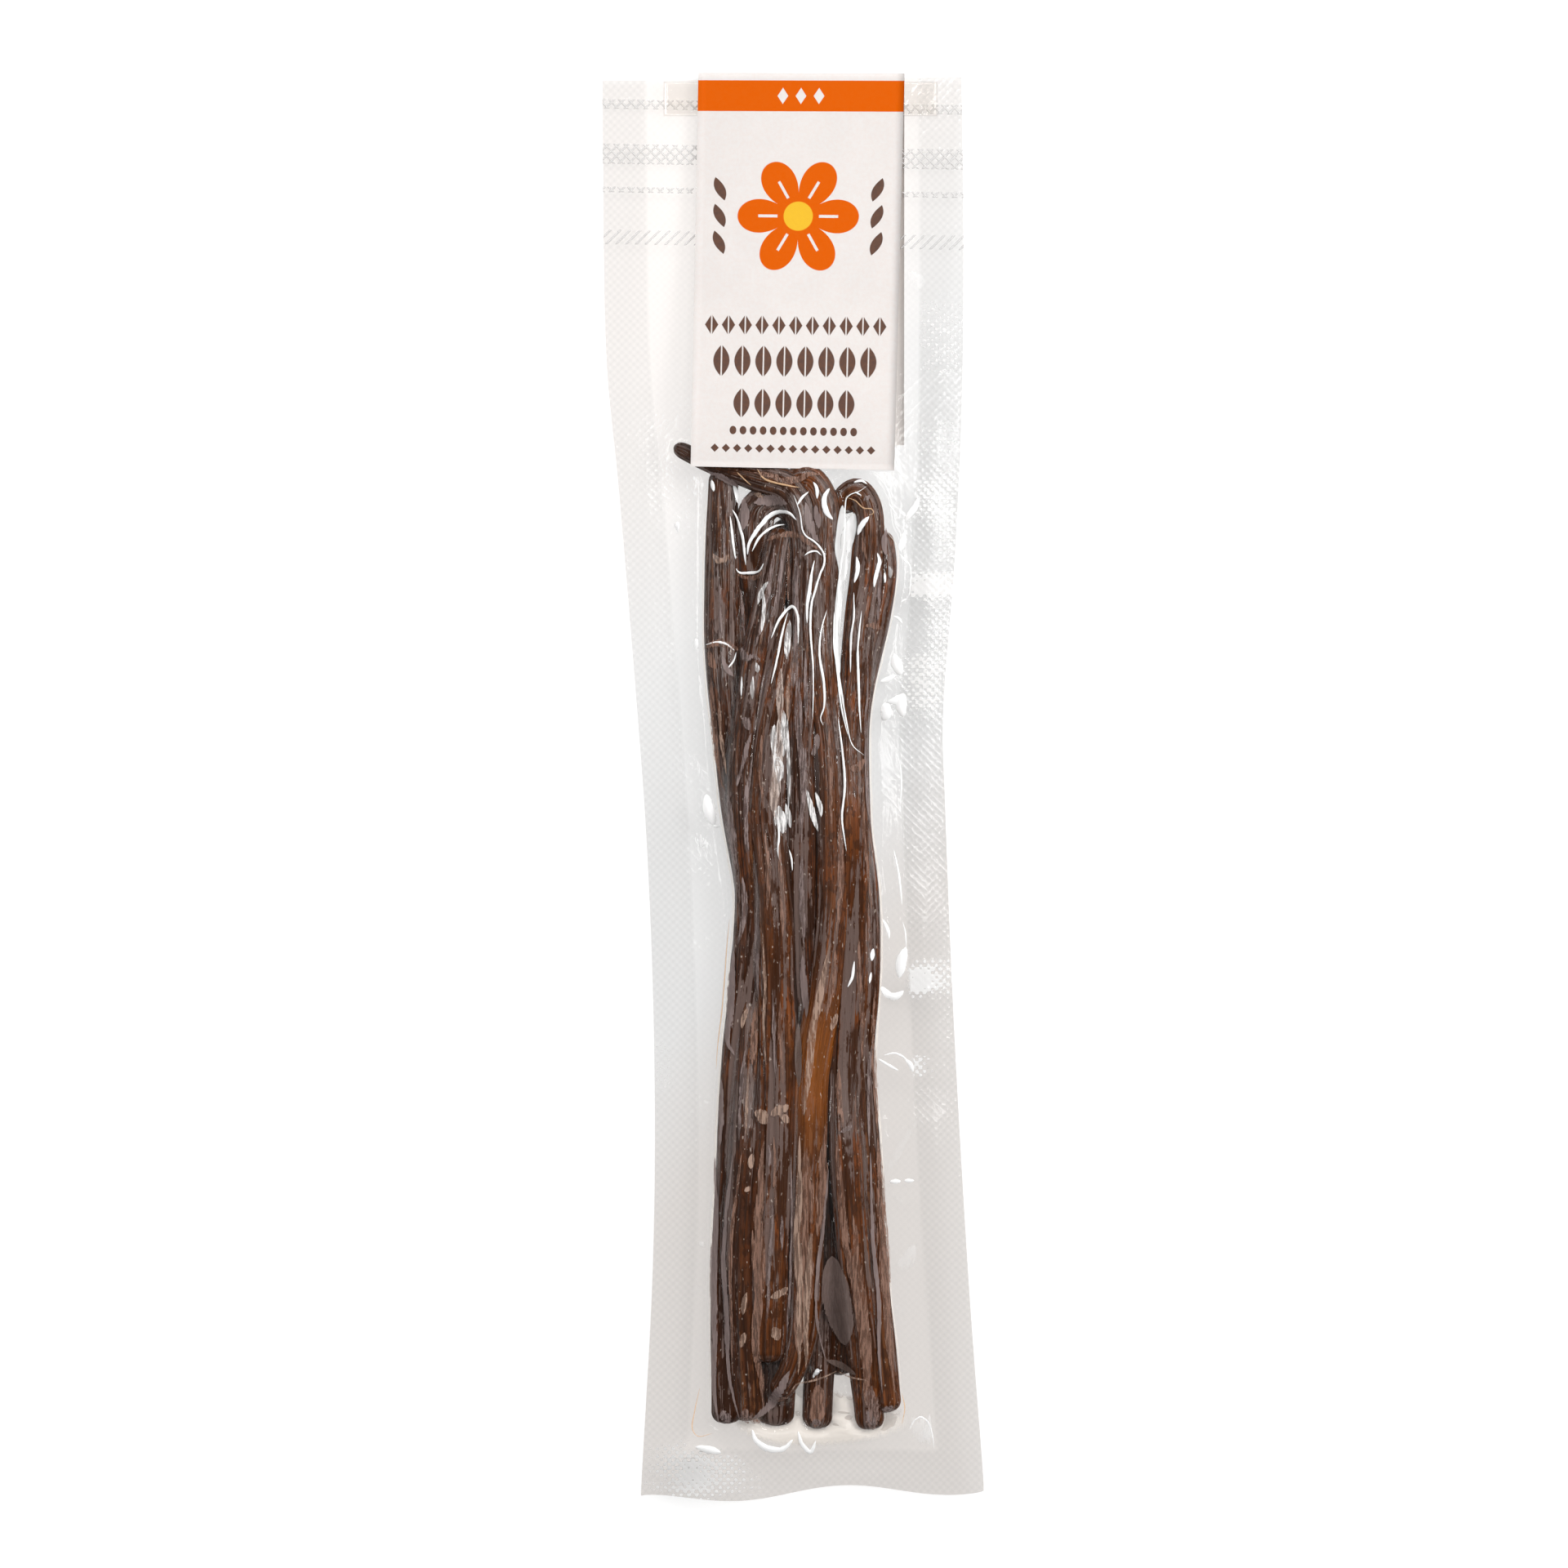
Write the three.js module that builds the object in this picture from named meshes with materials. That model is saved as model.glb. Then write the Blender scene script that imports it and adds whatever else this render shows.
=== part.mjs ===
// A vacuum pack of ten vanilla pods, lying on its back: a long clear pouch, sucked tight
// round the pods, with a folded paper label over its top edge and a strip of clear tape
// under the label. X runs across the pack, Y from the bottom seal to the label, Z up.
import * as THREE from "three";

// ---- Driving dimensions, mm ----
const FILM = 0.5; // both walls of the pouch where they are sealed together
const GAP = 0.3; // between pieces that lie on each other
const PAPER = 0.3;
const TAPE = 0.2;
const SEAL_WIDTH = 7.6; // the sealed margin down each long side
const FILM_SLOPE = 1.4; // the steepest that the film stands against a pod
const SEAL_CURL = 1.3; // how far the bottom seal waves, up and along the pack

// Outer edges of the pouch, from the top corner to the bottom one: [x, y].
const LEFT_EDGE = [
  [-34, 126],
  [-33.9, 112],
  [-33.2, 76],
  [-31.1, 54],
  [-28.1, 18],
  [-26, -11],
  [-24.7, -48],
  [-24.9, -84],
  [-27.1, -126.5],
];
const RIGHT_EDGE = [
  [30.1, 126.6],
  [30.4, 96],
  [30.1, 69],
  [28.8, 40],
  [26.7, 11],
  [27.1, -4],
  [28.5, -40],
  [31.4, -91],
  [34, -125.6],
];

// Height of the middle of the film over the floor, from the top edge to the bottom one.
const TOP_EDGE_HEIGHT = 1;
const BUNDLE_HEIGHT = 4.5;
const BOTTOM_EDGE_HEIGHT = 2.6;
const BUNDLE_TOP = 57;
const BUNDLE_BOTTOM = -115;
const PACK_TOP = 126.6;
const PACK_BOTTOM = -127;

// Middle heights of the pods that lie on the floor side, between, and on top.
const LOW = 2.45;
const MID = 4.7;
const HIGH = 6.8;
const TOP = 7.5;
const POD_THICKNESS = 4.6;
const HEAD_TAPER = 0.86; // width of a pod's stem end, as a share of its full width
const TIP_TAPER = 0.93;
const TAPER_SHARE = 0.12; // share of a pod's length over which an end narrows

// Each pod: full width, the width of an end that is narrower than most, as a share of the
// full width, then its middle line from the stem end: [x, y, z].
const PODS = [
  {
    width: 5.8,
    line: [
      [-12.4, 56.5, LOW + 1], [-12.6, 40, MID], [-12.6, 24, MID], [-11.3, 9, MID], [-10, -3, LOW + 1.2],
      [-7.6, -17, LOW], [-6.6, -32, MID], [-7.2, -48, MID + 1], [-8.1, -64, HIGH], [-9.3, -87, HIGH],
      [-8.2, -113, MID],
    ],
  },
  {
    width: 5.6,
    line: [
      [-1.9, 46, MID + 1], [-2.6, 42.5, HIGH - 0.6], [-4.6, 31, HIGH], [-7, 18, HIGH], [-8.6, 3, HIGH],
      [-8.4, -8, HIGH], [-7.4, -20, HIGH - 1], [-8.5, -35, MID + 1], [-9.8, -48, MID],
      [-10.6, -62, MID], [-11.6, -87, MID], [-11.8, -113.5, MID],
    ],
  },
  {
    width: 6.6,
    head: 0.5,
    line: [
      [-0.4, 31.5, HIGH], [-1.9, 19, TOP], [-3.8, 8, TOP], [-4.6, -5, TOP], [-3.5, -20, TOP],
      [-2.9, -48, HIGH], [-3.1, -64, HIGH], [-4.1, -87, HIGH], [-4.4, -102.5, HIGH - 0.5],
    ],
  },
  {
    width: 5.4,
    head: 0.5,
    line: [
      [-21.2, 60.6, MID - 0.3], [-14.5, 57.4, MID], [-6.5, 55, MID + 1], [-0.6, 53, HIGH],
      [1.9, 47, HIGH], [1.9, 29, HIGH], [1.6, 9, HIGH], [1.5, -8, HIGH], [1.6, -27, HIGH - 1],
      [2.5, -43, MID], [4.3, -61, LOW], [5.3, -87, LOW], [4.2, -114.5, LOW + 0.6],
    ],
  },
  {
    width: 5.9,
    tip: 0.7,
    line: [
      [-0.8, 53.8, MID + 1], [2.7, 54.4, HIGH], [5.2, 50.5, HIGH], [5.4, 41, HIGH], [5, 29, HIGH],
      [5.4, 17, HIGH], [6.6, 5, HIGH], [7, -20, HIGH], [5.6, -36, HIGH], [3.4, -51, HIGH],
      [2.9, -64, HIGH], [2.2, -87, HIGH], [1.6, -97, HIGH], [-0.3, -104, HIGH],
      [-2.8, -108.5, HIGH - 1],
    ],
  },
  {
    width: 5.6,
    line: [
      [9, 48.6, MID], [9.4, 51.2, MID], [11.4, 52.4, MID + 0.6], [13.2, 49.8, MID + 1],
      [13.2, 39, MID + 1], [12, 29, HIGH], [11.1, 18, HIGH], [10.3, 9, HIGH], [10.6, -8, HIGH],
      [10.2, -34, MID + 1], [9.3, -52, MID + 1], [9.4, -63, HIGH], [11.1, -87, HIGH], [13.4, -109, MID],
      [13.8, -114.5, LOW + 1],
    ],
  },
  {
    width: 5.3,
    line: [
      [15.4, 45.5, MID], [16.1, 39, MID], [14.4, 29, MID], [11.7, 18, MID], [10.8, 9, LOW + 1],
      [11, -6, LOW + 1], [12.5, -20, MID], [12.7, -35, MID + 1], [11.8, -48, MID], [12.6, -63, MID],
      [14.3, -87, MID], [16.8, -111.5, MID],
    ],
  },
  {
    width: 7,
    line: [
      [1.6, 46.5, MID - 0.6], [0.4, 49.6, MID], [-3, 51.2, MID], [-6.2, 49.2, MID], [-6.9, 44.5, MID],
      [-6.4, 36, LOW + 1], [-5.2, 24, LOW], [-3.2, 9, LOW], [-1.4, -20, LOW], [-1.8, -64, LOW],
      [-3.1, -114, LOW + 0.4],
    ],
  },
  {
    width: 5.4,
    line: [
      [-9.8, 46, LOW], [-9.4, 9, LOW], [-7.4, -13, LOW], [-7, -35, LOW], [-8.4, -64, LOW],
      [-9, -108, LOW],
    ],
  },
  {
    width: 5.4,
    line: [
      [-1.5, 48, LOW], [0.4, 40, LOW], [2.2, 24, LOW], [5.8, 2, LOW], [7.6, -20, LOW], [8.4, -42, LOW],
      [8.8, -87, LOW], [8.2, -105, LOW],
    ],
  },
];
const POD_STEPS = 70; // straight pieces that stand for a pod's middle line

// The label: the ends of its fold, and of its front and back lower edges, [left x, right x],
// with the y of each end.
const LABEL_FOLD = { left: [-16.9, 127.4], right: [19.9, 127.3] };
const LABEL_FRONT = { left: [-18.2, 56.9], right: [18, 56.2] };
const LABEL_BACK = { left: [-16.9, 61.4], right: [19.8, 60.8] };
const LABEL_LIFT = 2.2; // how far the pod under its lower edge holds the front off the film
const LABEL_LIFT_LENGTH = 32;

// The tape: its ends and its lower edge.
const TAPE_LEFT = -23.1;
const TAPE_RIGHT = 25.8;
const TAPE_BOTTOM = 119.6;
const TAPE_TOP = 125.8;

// Cells of the pouch's grid: across each margin and the bundle, and along each stretch.
const MARGIN_CELLS = 2;
const LEFT_STRIP_CELLS = 4;
const BUNDLE_CELLS = 22;
const RIGHT_STRIP_CELLS = 3;
const ROW_STRETCHES = [
  { from: 0, to: 0.235, cells: 9 },
  { from: 0.235, to: 0.345, cells: 15 },
  { from: 0.345, to: 0.885, cells: 36 },
  { from: 0.885, to: 0.965, cells: 11 },
  { from: 0.965, to: 1, cells: 3 },
];

const { lerp, smoothstep } = THREE.MathUtils;

// ---- The film's middle surface and outline ----

// A smooth line through [x, y] points that run down the pack, as a function from y to x.
function lineDown(points) {
  const curve = new THREE.SplineCurve(points.map(([x, y]) => new THREE.Vector2(x, y)));
  const samples = curve.getPoints(240);
  return (y) => {
    const below = samples.findIndex((p) => p.y <= y);
    if (below < 0) return samples[samples.length - 1].x;
    if (below === 0) return samples[0].x;
    const a = samples[below - 1];
    const b = samples[below];
    return lerp(a.x, b.x, (a.y - y) / (a.y - b.y));
  };
}

const leftEdge = lineDown(LEFT_EDGE);
const rightEdge = lineDown(RIGHT_EDGE);

// Share of the way from the bundle's lower end to the bottom edge.
function bottomShare(y) {
  return smoothstep(-y, -BUNDLE_BOTTOM, -PACK_BOTTOM);
}

// The wave of the bottom seal at a share of the pack's width, from -1 to 1.
function sealWave(across) {
  const fade = Math.sqrt(Math.sin(Math.PI * THREE.MathUtils.clamp(across, 0, 1)));
  return fade * Math.sin(2 * Math.PI * (0.25 + 1.4 * (across - 0.25)));
}

// Height of the middle of the film where the two walls lie together.
function filmMiddle(x, y) {
  const up = smoothstep(PACK_TOP - y, 0, PACK_TOP - BUNDLE_TOP);
  const down = bottomShare(y);
  const across = (x - leftEdge(y)) / (rightEdge(y) - leftEdge(y));
  const level = lerp(TOP_EDGE_HEIGHT, BUNDLE_HEIGHT, up);
  return lerp(level, BOTTOM_EDGE_HEIGHT, down) + SEAL_CURL * down * sealWave(across);
}

// ---- The pods, as the film sees them ----

// Width of a pod at a share of its length, narrower towards both ends.
function podWidth(pod, share) {
  const head = lerp(pod.head ?? HEAD_TAPER, 1, smoothstep(share, 0, TAPER_SHARE));
  const tip = lerp(pod.tip ?? TIP_TAPER, 1, smoothstep(1 - share, 0, TAPER_SHARE));
  return pod.width * head * tip;
}

// A pod's middle line as short straight pieces, each with its half width and half thickness.
function podPieces(pod) {
  const curve = new THREE.CatmullRomCurve3(pod.line.map((p) => new THREE.Vector3(...p)));
  const points = curve.getSpacedPoints(POD_STEPS);
  return points.slice(1).map((end, i) => {
    const halfWidth = podWidth(pod, (i + 0.5) / POD_STEPS) / 2;
    const halfThickness = (halfWidth * POD_THICKNESS) / pod.width;
    return { start: points[i], end, halfWidth, halfThickness };
  });
}

const podParts = PODS.flatMap(podPieces);

// Height of the film over a pod's middle at a distance to its side: an ellipse, then a
// straight slope that leaves it where it gets as steep as the film can stand.
function filmOverPod(piece, distance) {
  const { halfWidth, halfThickness } = piece;
  const steepness = (FILM_SLOPE * halfWidth) / halfThickness;
  const leaves = (halfWidth * steepness) / Math.hypot(1, steepness);
  const ellipse = (d) => halfThickness * Math.sqrt(1 - (d / halfWidth) ** 2);
  if (distance <= leaves) return ellipse(distance);
  return ellipse(leaves) - FILM_SLOPE * (distance - leaves);
}

// Distance from a point to a piece of a pod seen from above, and the piece's height there.
function nearest(piece, x, y) {
  const dx = piece.end.x - piece.start.x;
  const dy = piece.end.y - piece.start.y;
  const along = ((x - piece.start.x) * dx + (y - piece.start.y) * dy) / (dx * dx + dy * dy);
  const t = THREE.MathUtils.clamp(along, 0, 1);
  const distance = Math.hypot(x - piece.start.x - t * dx, y - piece.start.y - t * dy);
  return { distance, height: lerp(piece.start.z, piece.end.z, t) };
}

// Upper and lower face of the pouch at a place: the film round the pods, or lying flat.
function pouchHeights(x, y) {
  const middle = filmMiddle(x, y);
  let upper = middle + FILM / 2;
  let lower = middle - FILM / 2;
  for (const piece of podParts) {
    const { distance, height } = nearest(piece, x, y);
    const rise = filmOverPod(piece, distance);
    upper = Math.max(upper, height + rise + FILM / 4);
    lower = Math.min(lower, height - rise - FILM / 4);
  }
  return { upper, lower: Math.max(lower, 0) };
}

// ---- Closed sheets ----

// A closed solid between two grids of points that share their outline: its faces are
// front(i, j) and back(i, j), with j running down the sheet and i across it.
function sheetBetween(front, back, columns, rows) {
  const width = columns + 1;
  const count = width * (rows + 1);
  const positions = [];
  for (const face of [front, back]) {
    for (let j = 0; j <= rows; j++) {
      for (let i = 0; i <= columns; i++) positions.push(...face(i, j));
    }
  }
  const index = [];
  const quad = (a, b, c, d) => index.push(a, b, c, a, c, d);
  const at = (i, j) => j * width + i;
  for (let j = 0; j < rows; j++) {
    for (let i = 0; i < columns; i++) {
      const corners = [at(i, j), at(i, j + 1), at(i + 1, j + 1), at(i + 1, j)];
      quad(...corners);
      quad(...corners.map((corner) => corner + count).reverse());
    }
    quad(at(0, j), at(0, j) + count, at(0, j + 1) + count, at(0, j + 1));
    quad(at(columns, j + 1), at(columns, j + 1) + count, at(columns, j) + count, at(columns, j));
  }
  for (let i = 0; i < columns; i++) {
    quad(at(i + 1, 0), at(i + 1, 0) + count, at(i, 0) + count, at(i, 0));
    quad(at(i, rows), at(i, rows) + count, at(i + 1, rows) + count, at(i + 1, rows));
  }
  const geometry = new THREE.BufferGeometry();
  geometry.setAttribute("position", new THREE.Float32BufferAttribute(positions, 3));
  geometry.setIndex(index);
  geometry.computeVertexNormals();
  return geometry;
}

// ---- Pouch ----

// Shares of the pack's length at which the pouch's rows lie.
function rowShares() {
  const shares = ROW_STRETCHES.flatMap(({ from, to, cells }) =>
    Array.from({ length: cells }, (_, k) => lerp(from, to, k / cells)),
  );
  return [...shares, 1];
}

// The sides of the bundle at a height up the pack, held on past its ends.
function bundleSides(y) {
  const level = THREE.MathUtils.clamp(y, BUNDLE_BOTTOM + 2, BUNDLE_TOP - 8);
  const near = podParts.filter((p) => Math.abs(p.start.y - level) < 3 && p.start.x > LABEL_FRONT.left[0]);
  return {
    left: Math.min(...near.map((p) => p.start.x - p.halfWidth)),
    right: Math.max(...near.map((p) => p.start.x + p.halfWidth)),
  };
}

// Places across a row, from the left edge to the right one, closest over the bundle.
function columnPlaces(y) {
  const left = leftEdge(y);
  const right = rightEdge(y);
  const bundle = bundleSides(y);
  const stops = [
    { x: left, cells: MARGIN_CELLS },
    { x: left + SEAL_WIDTH, cells: LEFT_STRIP_CELLS },
    { x: bundle.left - FILM, cells: BUNDLE_CELLS },
    { x: bundle.right + FILM, cells: RIGHT_STRIP_CELLS },
    { x: right - SEAL_WIDTH, cells: MARGIN_CELLS },
  ];
  const places = stops.flatMap(({ x, cells }, k) => {
    const next = k + 1 < stops.length ? stops[k + 1].x : right;
    return Array.from({ length: cells }, (_, i) => lerp(x, next, i / cells));
  });
  return [...places, right];
}

function makePouch() {
  const grid = rowShares().map((share) => {
    const nominal = lerp(PACK_TOP, PACK_BOTTOM, share);
    const places = columnPlaces(nominal);
    return places.map((x, i) => {
      const across = (x - places[0]) / (places[places.length - 1] - places[0]);
      const top = lerp(LEFT_EDGE[0][1], RIGHT_EDGE[0][1], across);
      const bottom = lerp(LEFT_EDGE[8][1], RIGHT_EDGE[8][1], across);
      const y = lerp(top, bottom, share) - SEAL_CURL * bottomShare(nominal) * sealWave(across);
      const { upper, lower } = pouchHeights(x, y);
      return { x, y, upper, lower };
    });
  });
  const front = (i, j) => [grid[j][i].x, grid[j][i].y, grid[j][i].upper];
  const back = (i, j) => [grid[j][i].x, grid[j][i].y, grid[j][i].lower];
  return sheetBetween(front, back, grid[0].length - 1, grid.length - 1);
}

// ---- Label and tape ----

const LABEL_COLUMNS = 10;
const PANEL_ROWS = 16;
const FOLD_ROWS = 6;

// Height of the label's front panel over the film's middle: on the tape at the top, and
// held up by the pod end under its lower edge.
function labelFrontRise(y) {
  const lift = smoothstep(LABEL_LIFT_LENGTH + LABEL_FRONT.left[1] - y, 0, LABEL_LIFT_LENGTH);
  return FILM / 2 + GAP + TAPE + GAP + PAPER / 2 + LABEL_LIFT * lift;
}

const LABEL_BACK_DROP = FILM / 2 + GAP + PAPER / 2;

// The label's middle surface: up the back panel, round the fold, and down the front panel.
function labelMiddle(i, j) {
  const across = i / LABEL_COLUMNS;
  const along = ({ left, right }) => [lerp(left[0], right[0], across), lerp(left[1], right[1], across)];
  const [foldX, apexY] = along(LABEL_FOLD);
  const foldRadius = (labelFrontRise(apexY) + LABEL_BACK_DROP) / 2;
  const foldY = apexY - foldRadius - PAPER / 2;
  const foldMiddle = filmMiddle(foldX, PACK_TOP) + (labelFrontRise(apexY) - LABEL_BACK_DROP) / 2;
  const onPanel = (edge, share, rise) => {
    const [edgeX, edgeY] = along(edge);
    const x = lerp(edgeX, foldX, share);
    const y = lerp(edgeY, foldY, share);
    return [x, y, filmMiddle(x, y) + rise(y)];
  };
  if (j < PANEL_ROWS) return onPanel(LABEL_FRONT, j / PANEL_ROWS, labelFrontRise);
  if (j > PANEL_ROWS + FOLD_ROWS) {
    const share = (2 * PANEL_ROWS + FOLD_ROWS - j) / PANEL_ROWS;
    return onPanel(LABEL_BACK, share, () => -LABEL_BACK_DROP);
  }
  const turn = Math.PI * (0.5 - (j - PANEL_ROWS) / FOLD_ROWS);
  return [foldX, foldY + foldRadius * Math.cos(turn), foldMiddle + foldRadius * Math.sin(turn)];
}

function makeLabel() {
  const rows = 2 * PANEL_ROWS + FOLD_ROWS;
  // A point moved half the paper's thickness to one side, square to the sheet's run.
  const offset = (i, j, side) => {
    const [x, y, z] = labelMiddle(i, j);
    const before = labelMiddle(i, Math.max(j - 1, 0));
    const after = labelMiddle(i, Math.min(j + 1, rows));
    const runY = after[1] - before[1];
    const runZ = after[2] - before[2];
    const scale = (side * PAPER) / 2 / Math.hypot(runY, runZ);
    return [x, y - runZ * scale, z + runY * scale];
  };
  return sheetBetween(
    (i, j) => offset(i, rows - j, 1),
    (i, j) => offset(i, rows - j, -1),
    LABEL_COLUMNS,
    rows,
  );
}

function makeTape() {
  const columns = 12;
  const rows = 3;
  const place = (i, j, rise) => {
    const x = lerp(TAPE_LEFT, TAPE_RIGHT, i / columns);
    const y = lerp(TAPE_TOP, TAPE_BOTTOM, j / rows);
    return [x, y, filmMiddle(x, y) + FILM / 2 + GAP + rise];
  };
  return sheetBetween((i, j) => place(i, j, TAPE), (i, j) => place(i, j, 0), columns, rows);
}

// ---- Materials and assembly ----

const podsInFilm = new THREE.MeshStandardMaterial({ color: 0x4a2816, roughness: 0.35, metalness: 0 });
const paper = new THREE.MeshStandardMaterial({ color: 0xf0ece9, roughness: 0.7, metalness: 0 });
const clearTape = new THREE.MeshStandardMaterial({ color: 0xe6e4e0, roughness: 0.2, metalness: 0 });

function named(name, geometry, material) {
  const mesh = new THREE.Mesh(geometry, material);
  mesh.name = name;
  return mesh;
}

const pack = new THREE.Group();
pack.add(named("pouch", makePouch(), podsInFilm));
pack.add(named("label", makeLabel(), paper));
pack.add(named("tape", makeTape(), clearTape));

// The origin is under the middle of the pack, on the floor.
const box = new THREE.Box3().setFromObject(pack);
const middle = box.getCenter(new THREE.Vector3());
pack.position.set(-middle.x, -middle.y, -box.min.z);

export default pack;
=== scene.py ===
"""Vacuum pack of vanilla pods: ten wrinkled pods sealed between two walls of clear film,
with a folded paper label over the top edge and a strip of clear tape under it.

Lengths in the tables are millimetres, in the pack's own frame: X across, Y from the bottom
seal to the label, Z up from the surface that it lies on. Meshes are made in metres."""

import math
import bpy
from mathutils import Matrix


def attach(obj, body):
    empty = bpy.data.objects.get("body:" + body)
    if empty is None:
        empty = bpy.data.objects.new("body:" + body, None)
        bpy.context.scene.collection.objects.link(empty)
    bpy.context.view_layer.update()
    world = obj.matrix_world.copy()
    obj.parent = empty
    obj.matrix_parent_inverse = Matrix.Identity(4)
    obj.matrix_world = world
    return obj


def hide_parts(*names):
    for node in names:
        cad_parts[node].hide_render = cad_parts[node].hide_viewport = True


bl_info = {
    "name": "Vanilla Pod Pack",
    "version": (1, 0, 0),
    "blender": (4, 5, 0),
    "location": "View3D > Sidebar > Vanilla",
    "description": "Builds a vacuum pack of vanilla pods with its label, tape and studio",
    "category": "Add Mesh",
}

import bpy
import numpy as np
from bpy.props import FloatProperty, FloatVectorProperty, IntProperty, PointerProperty
from mathutils import Vector

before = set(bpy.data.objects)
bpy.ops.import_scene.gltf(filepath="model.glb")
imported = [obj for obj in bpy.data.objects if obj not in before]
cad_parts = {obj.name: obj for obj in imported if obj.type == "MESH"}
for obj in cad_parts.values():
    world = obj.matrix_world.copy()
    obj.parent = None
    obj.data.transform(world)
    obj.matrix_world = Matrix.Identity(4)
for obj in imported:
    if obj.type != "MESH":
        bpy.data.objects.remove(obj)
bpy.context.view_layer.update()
MM = 0.001
BODY = "root"

# ---- The pack's sizes, mm ----

FILM = 0.15  # one wall of the pouch
SEAL_WIDTH = 7.6
SEAL_CURL = 1.3
LEFT_EDGE = [
    (-34, 126), (-33.9, 112), (-33.2, 76), (-31.1, 54), (-28.1, 18),
    (-26, -11), (-24.7, -48), (-24.9, -84), (-27.1, -126.5),
]
RIGHT_EDGE = [
    (30.1, 126.6), (30.4, 96), (30.1, 69), (28.8, 40), (26.7, 11),
    (27.1, -4), (28.5, -40), (31.4, -91), (34, -125.6),
]
TOP_EDGE_HEIGHT = 1
BUNDLE_HEIGHT = 4.5
BOTTOM_EDGE_HEIGHT = 2.6
BUNDLE_TOP = 57
BUNDLE_BOTTOM = -115
PACK_TOP = 126.6
PACK_BOTTOM = -127

LABEL_FOLD = ((-16.9, 127.4), (19.9, 127.3))
LABEL_FRONT = ((-18.2, 56.9), (18, 56.2))
LABEL_BACK = ((-16.9, 61.4), (19.8, 60.8))
LABEL_LIFT = 2.2
LABEL_LIFT_LENGTH = 32
LABEL_ON_TAPE = 1.2  # paper's middle over the film's middle
LABEL_UNDER_FILM = 0.7
PAPER = 0.22
TAPE_ENDS = (-23.1, 25.8)
TAPE_LEVELS = (119.6, 125.8)
TAPE_RISE = 0.62
TAPE = 0.1
UV_RUN = 100  # length along a pod or the label for each unit of V

# Middle heights of the pods that lie on the floor side, between, and on top.
LOW = 2.45
MID = 4.7
HIGH = 6.8
TOP = 7.5

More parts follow.
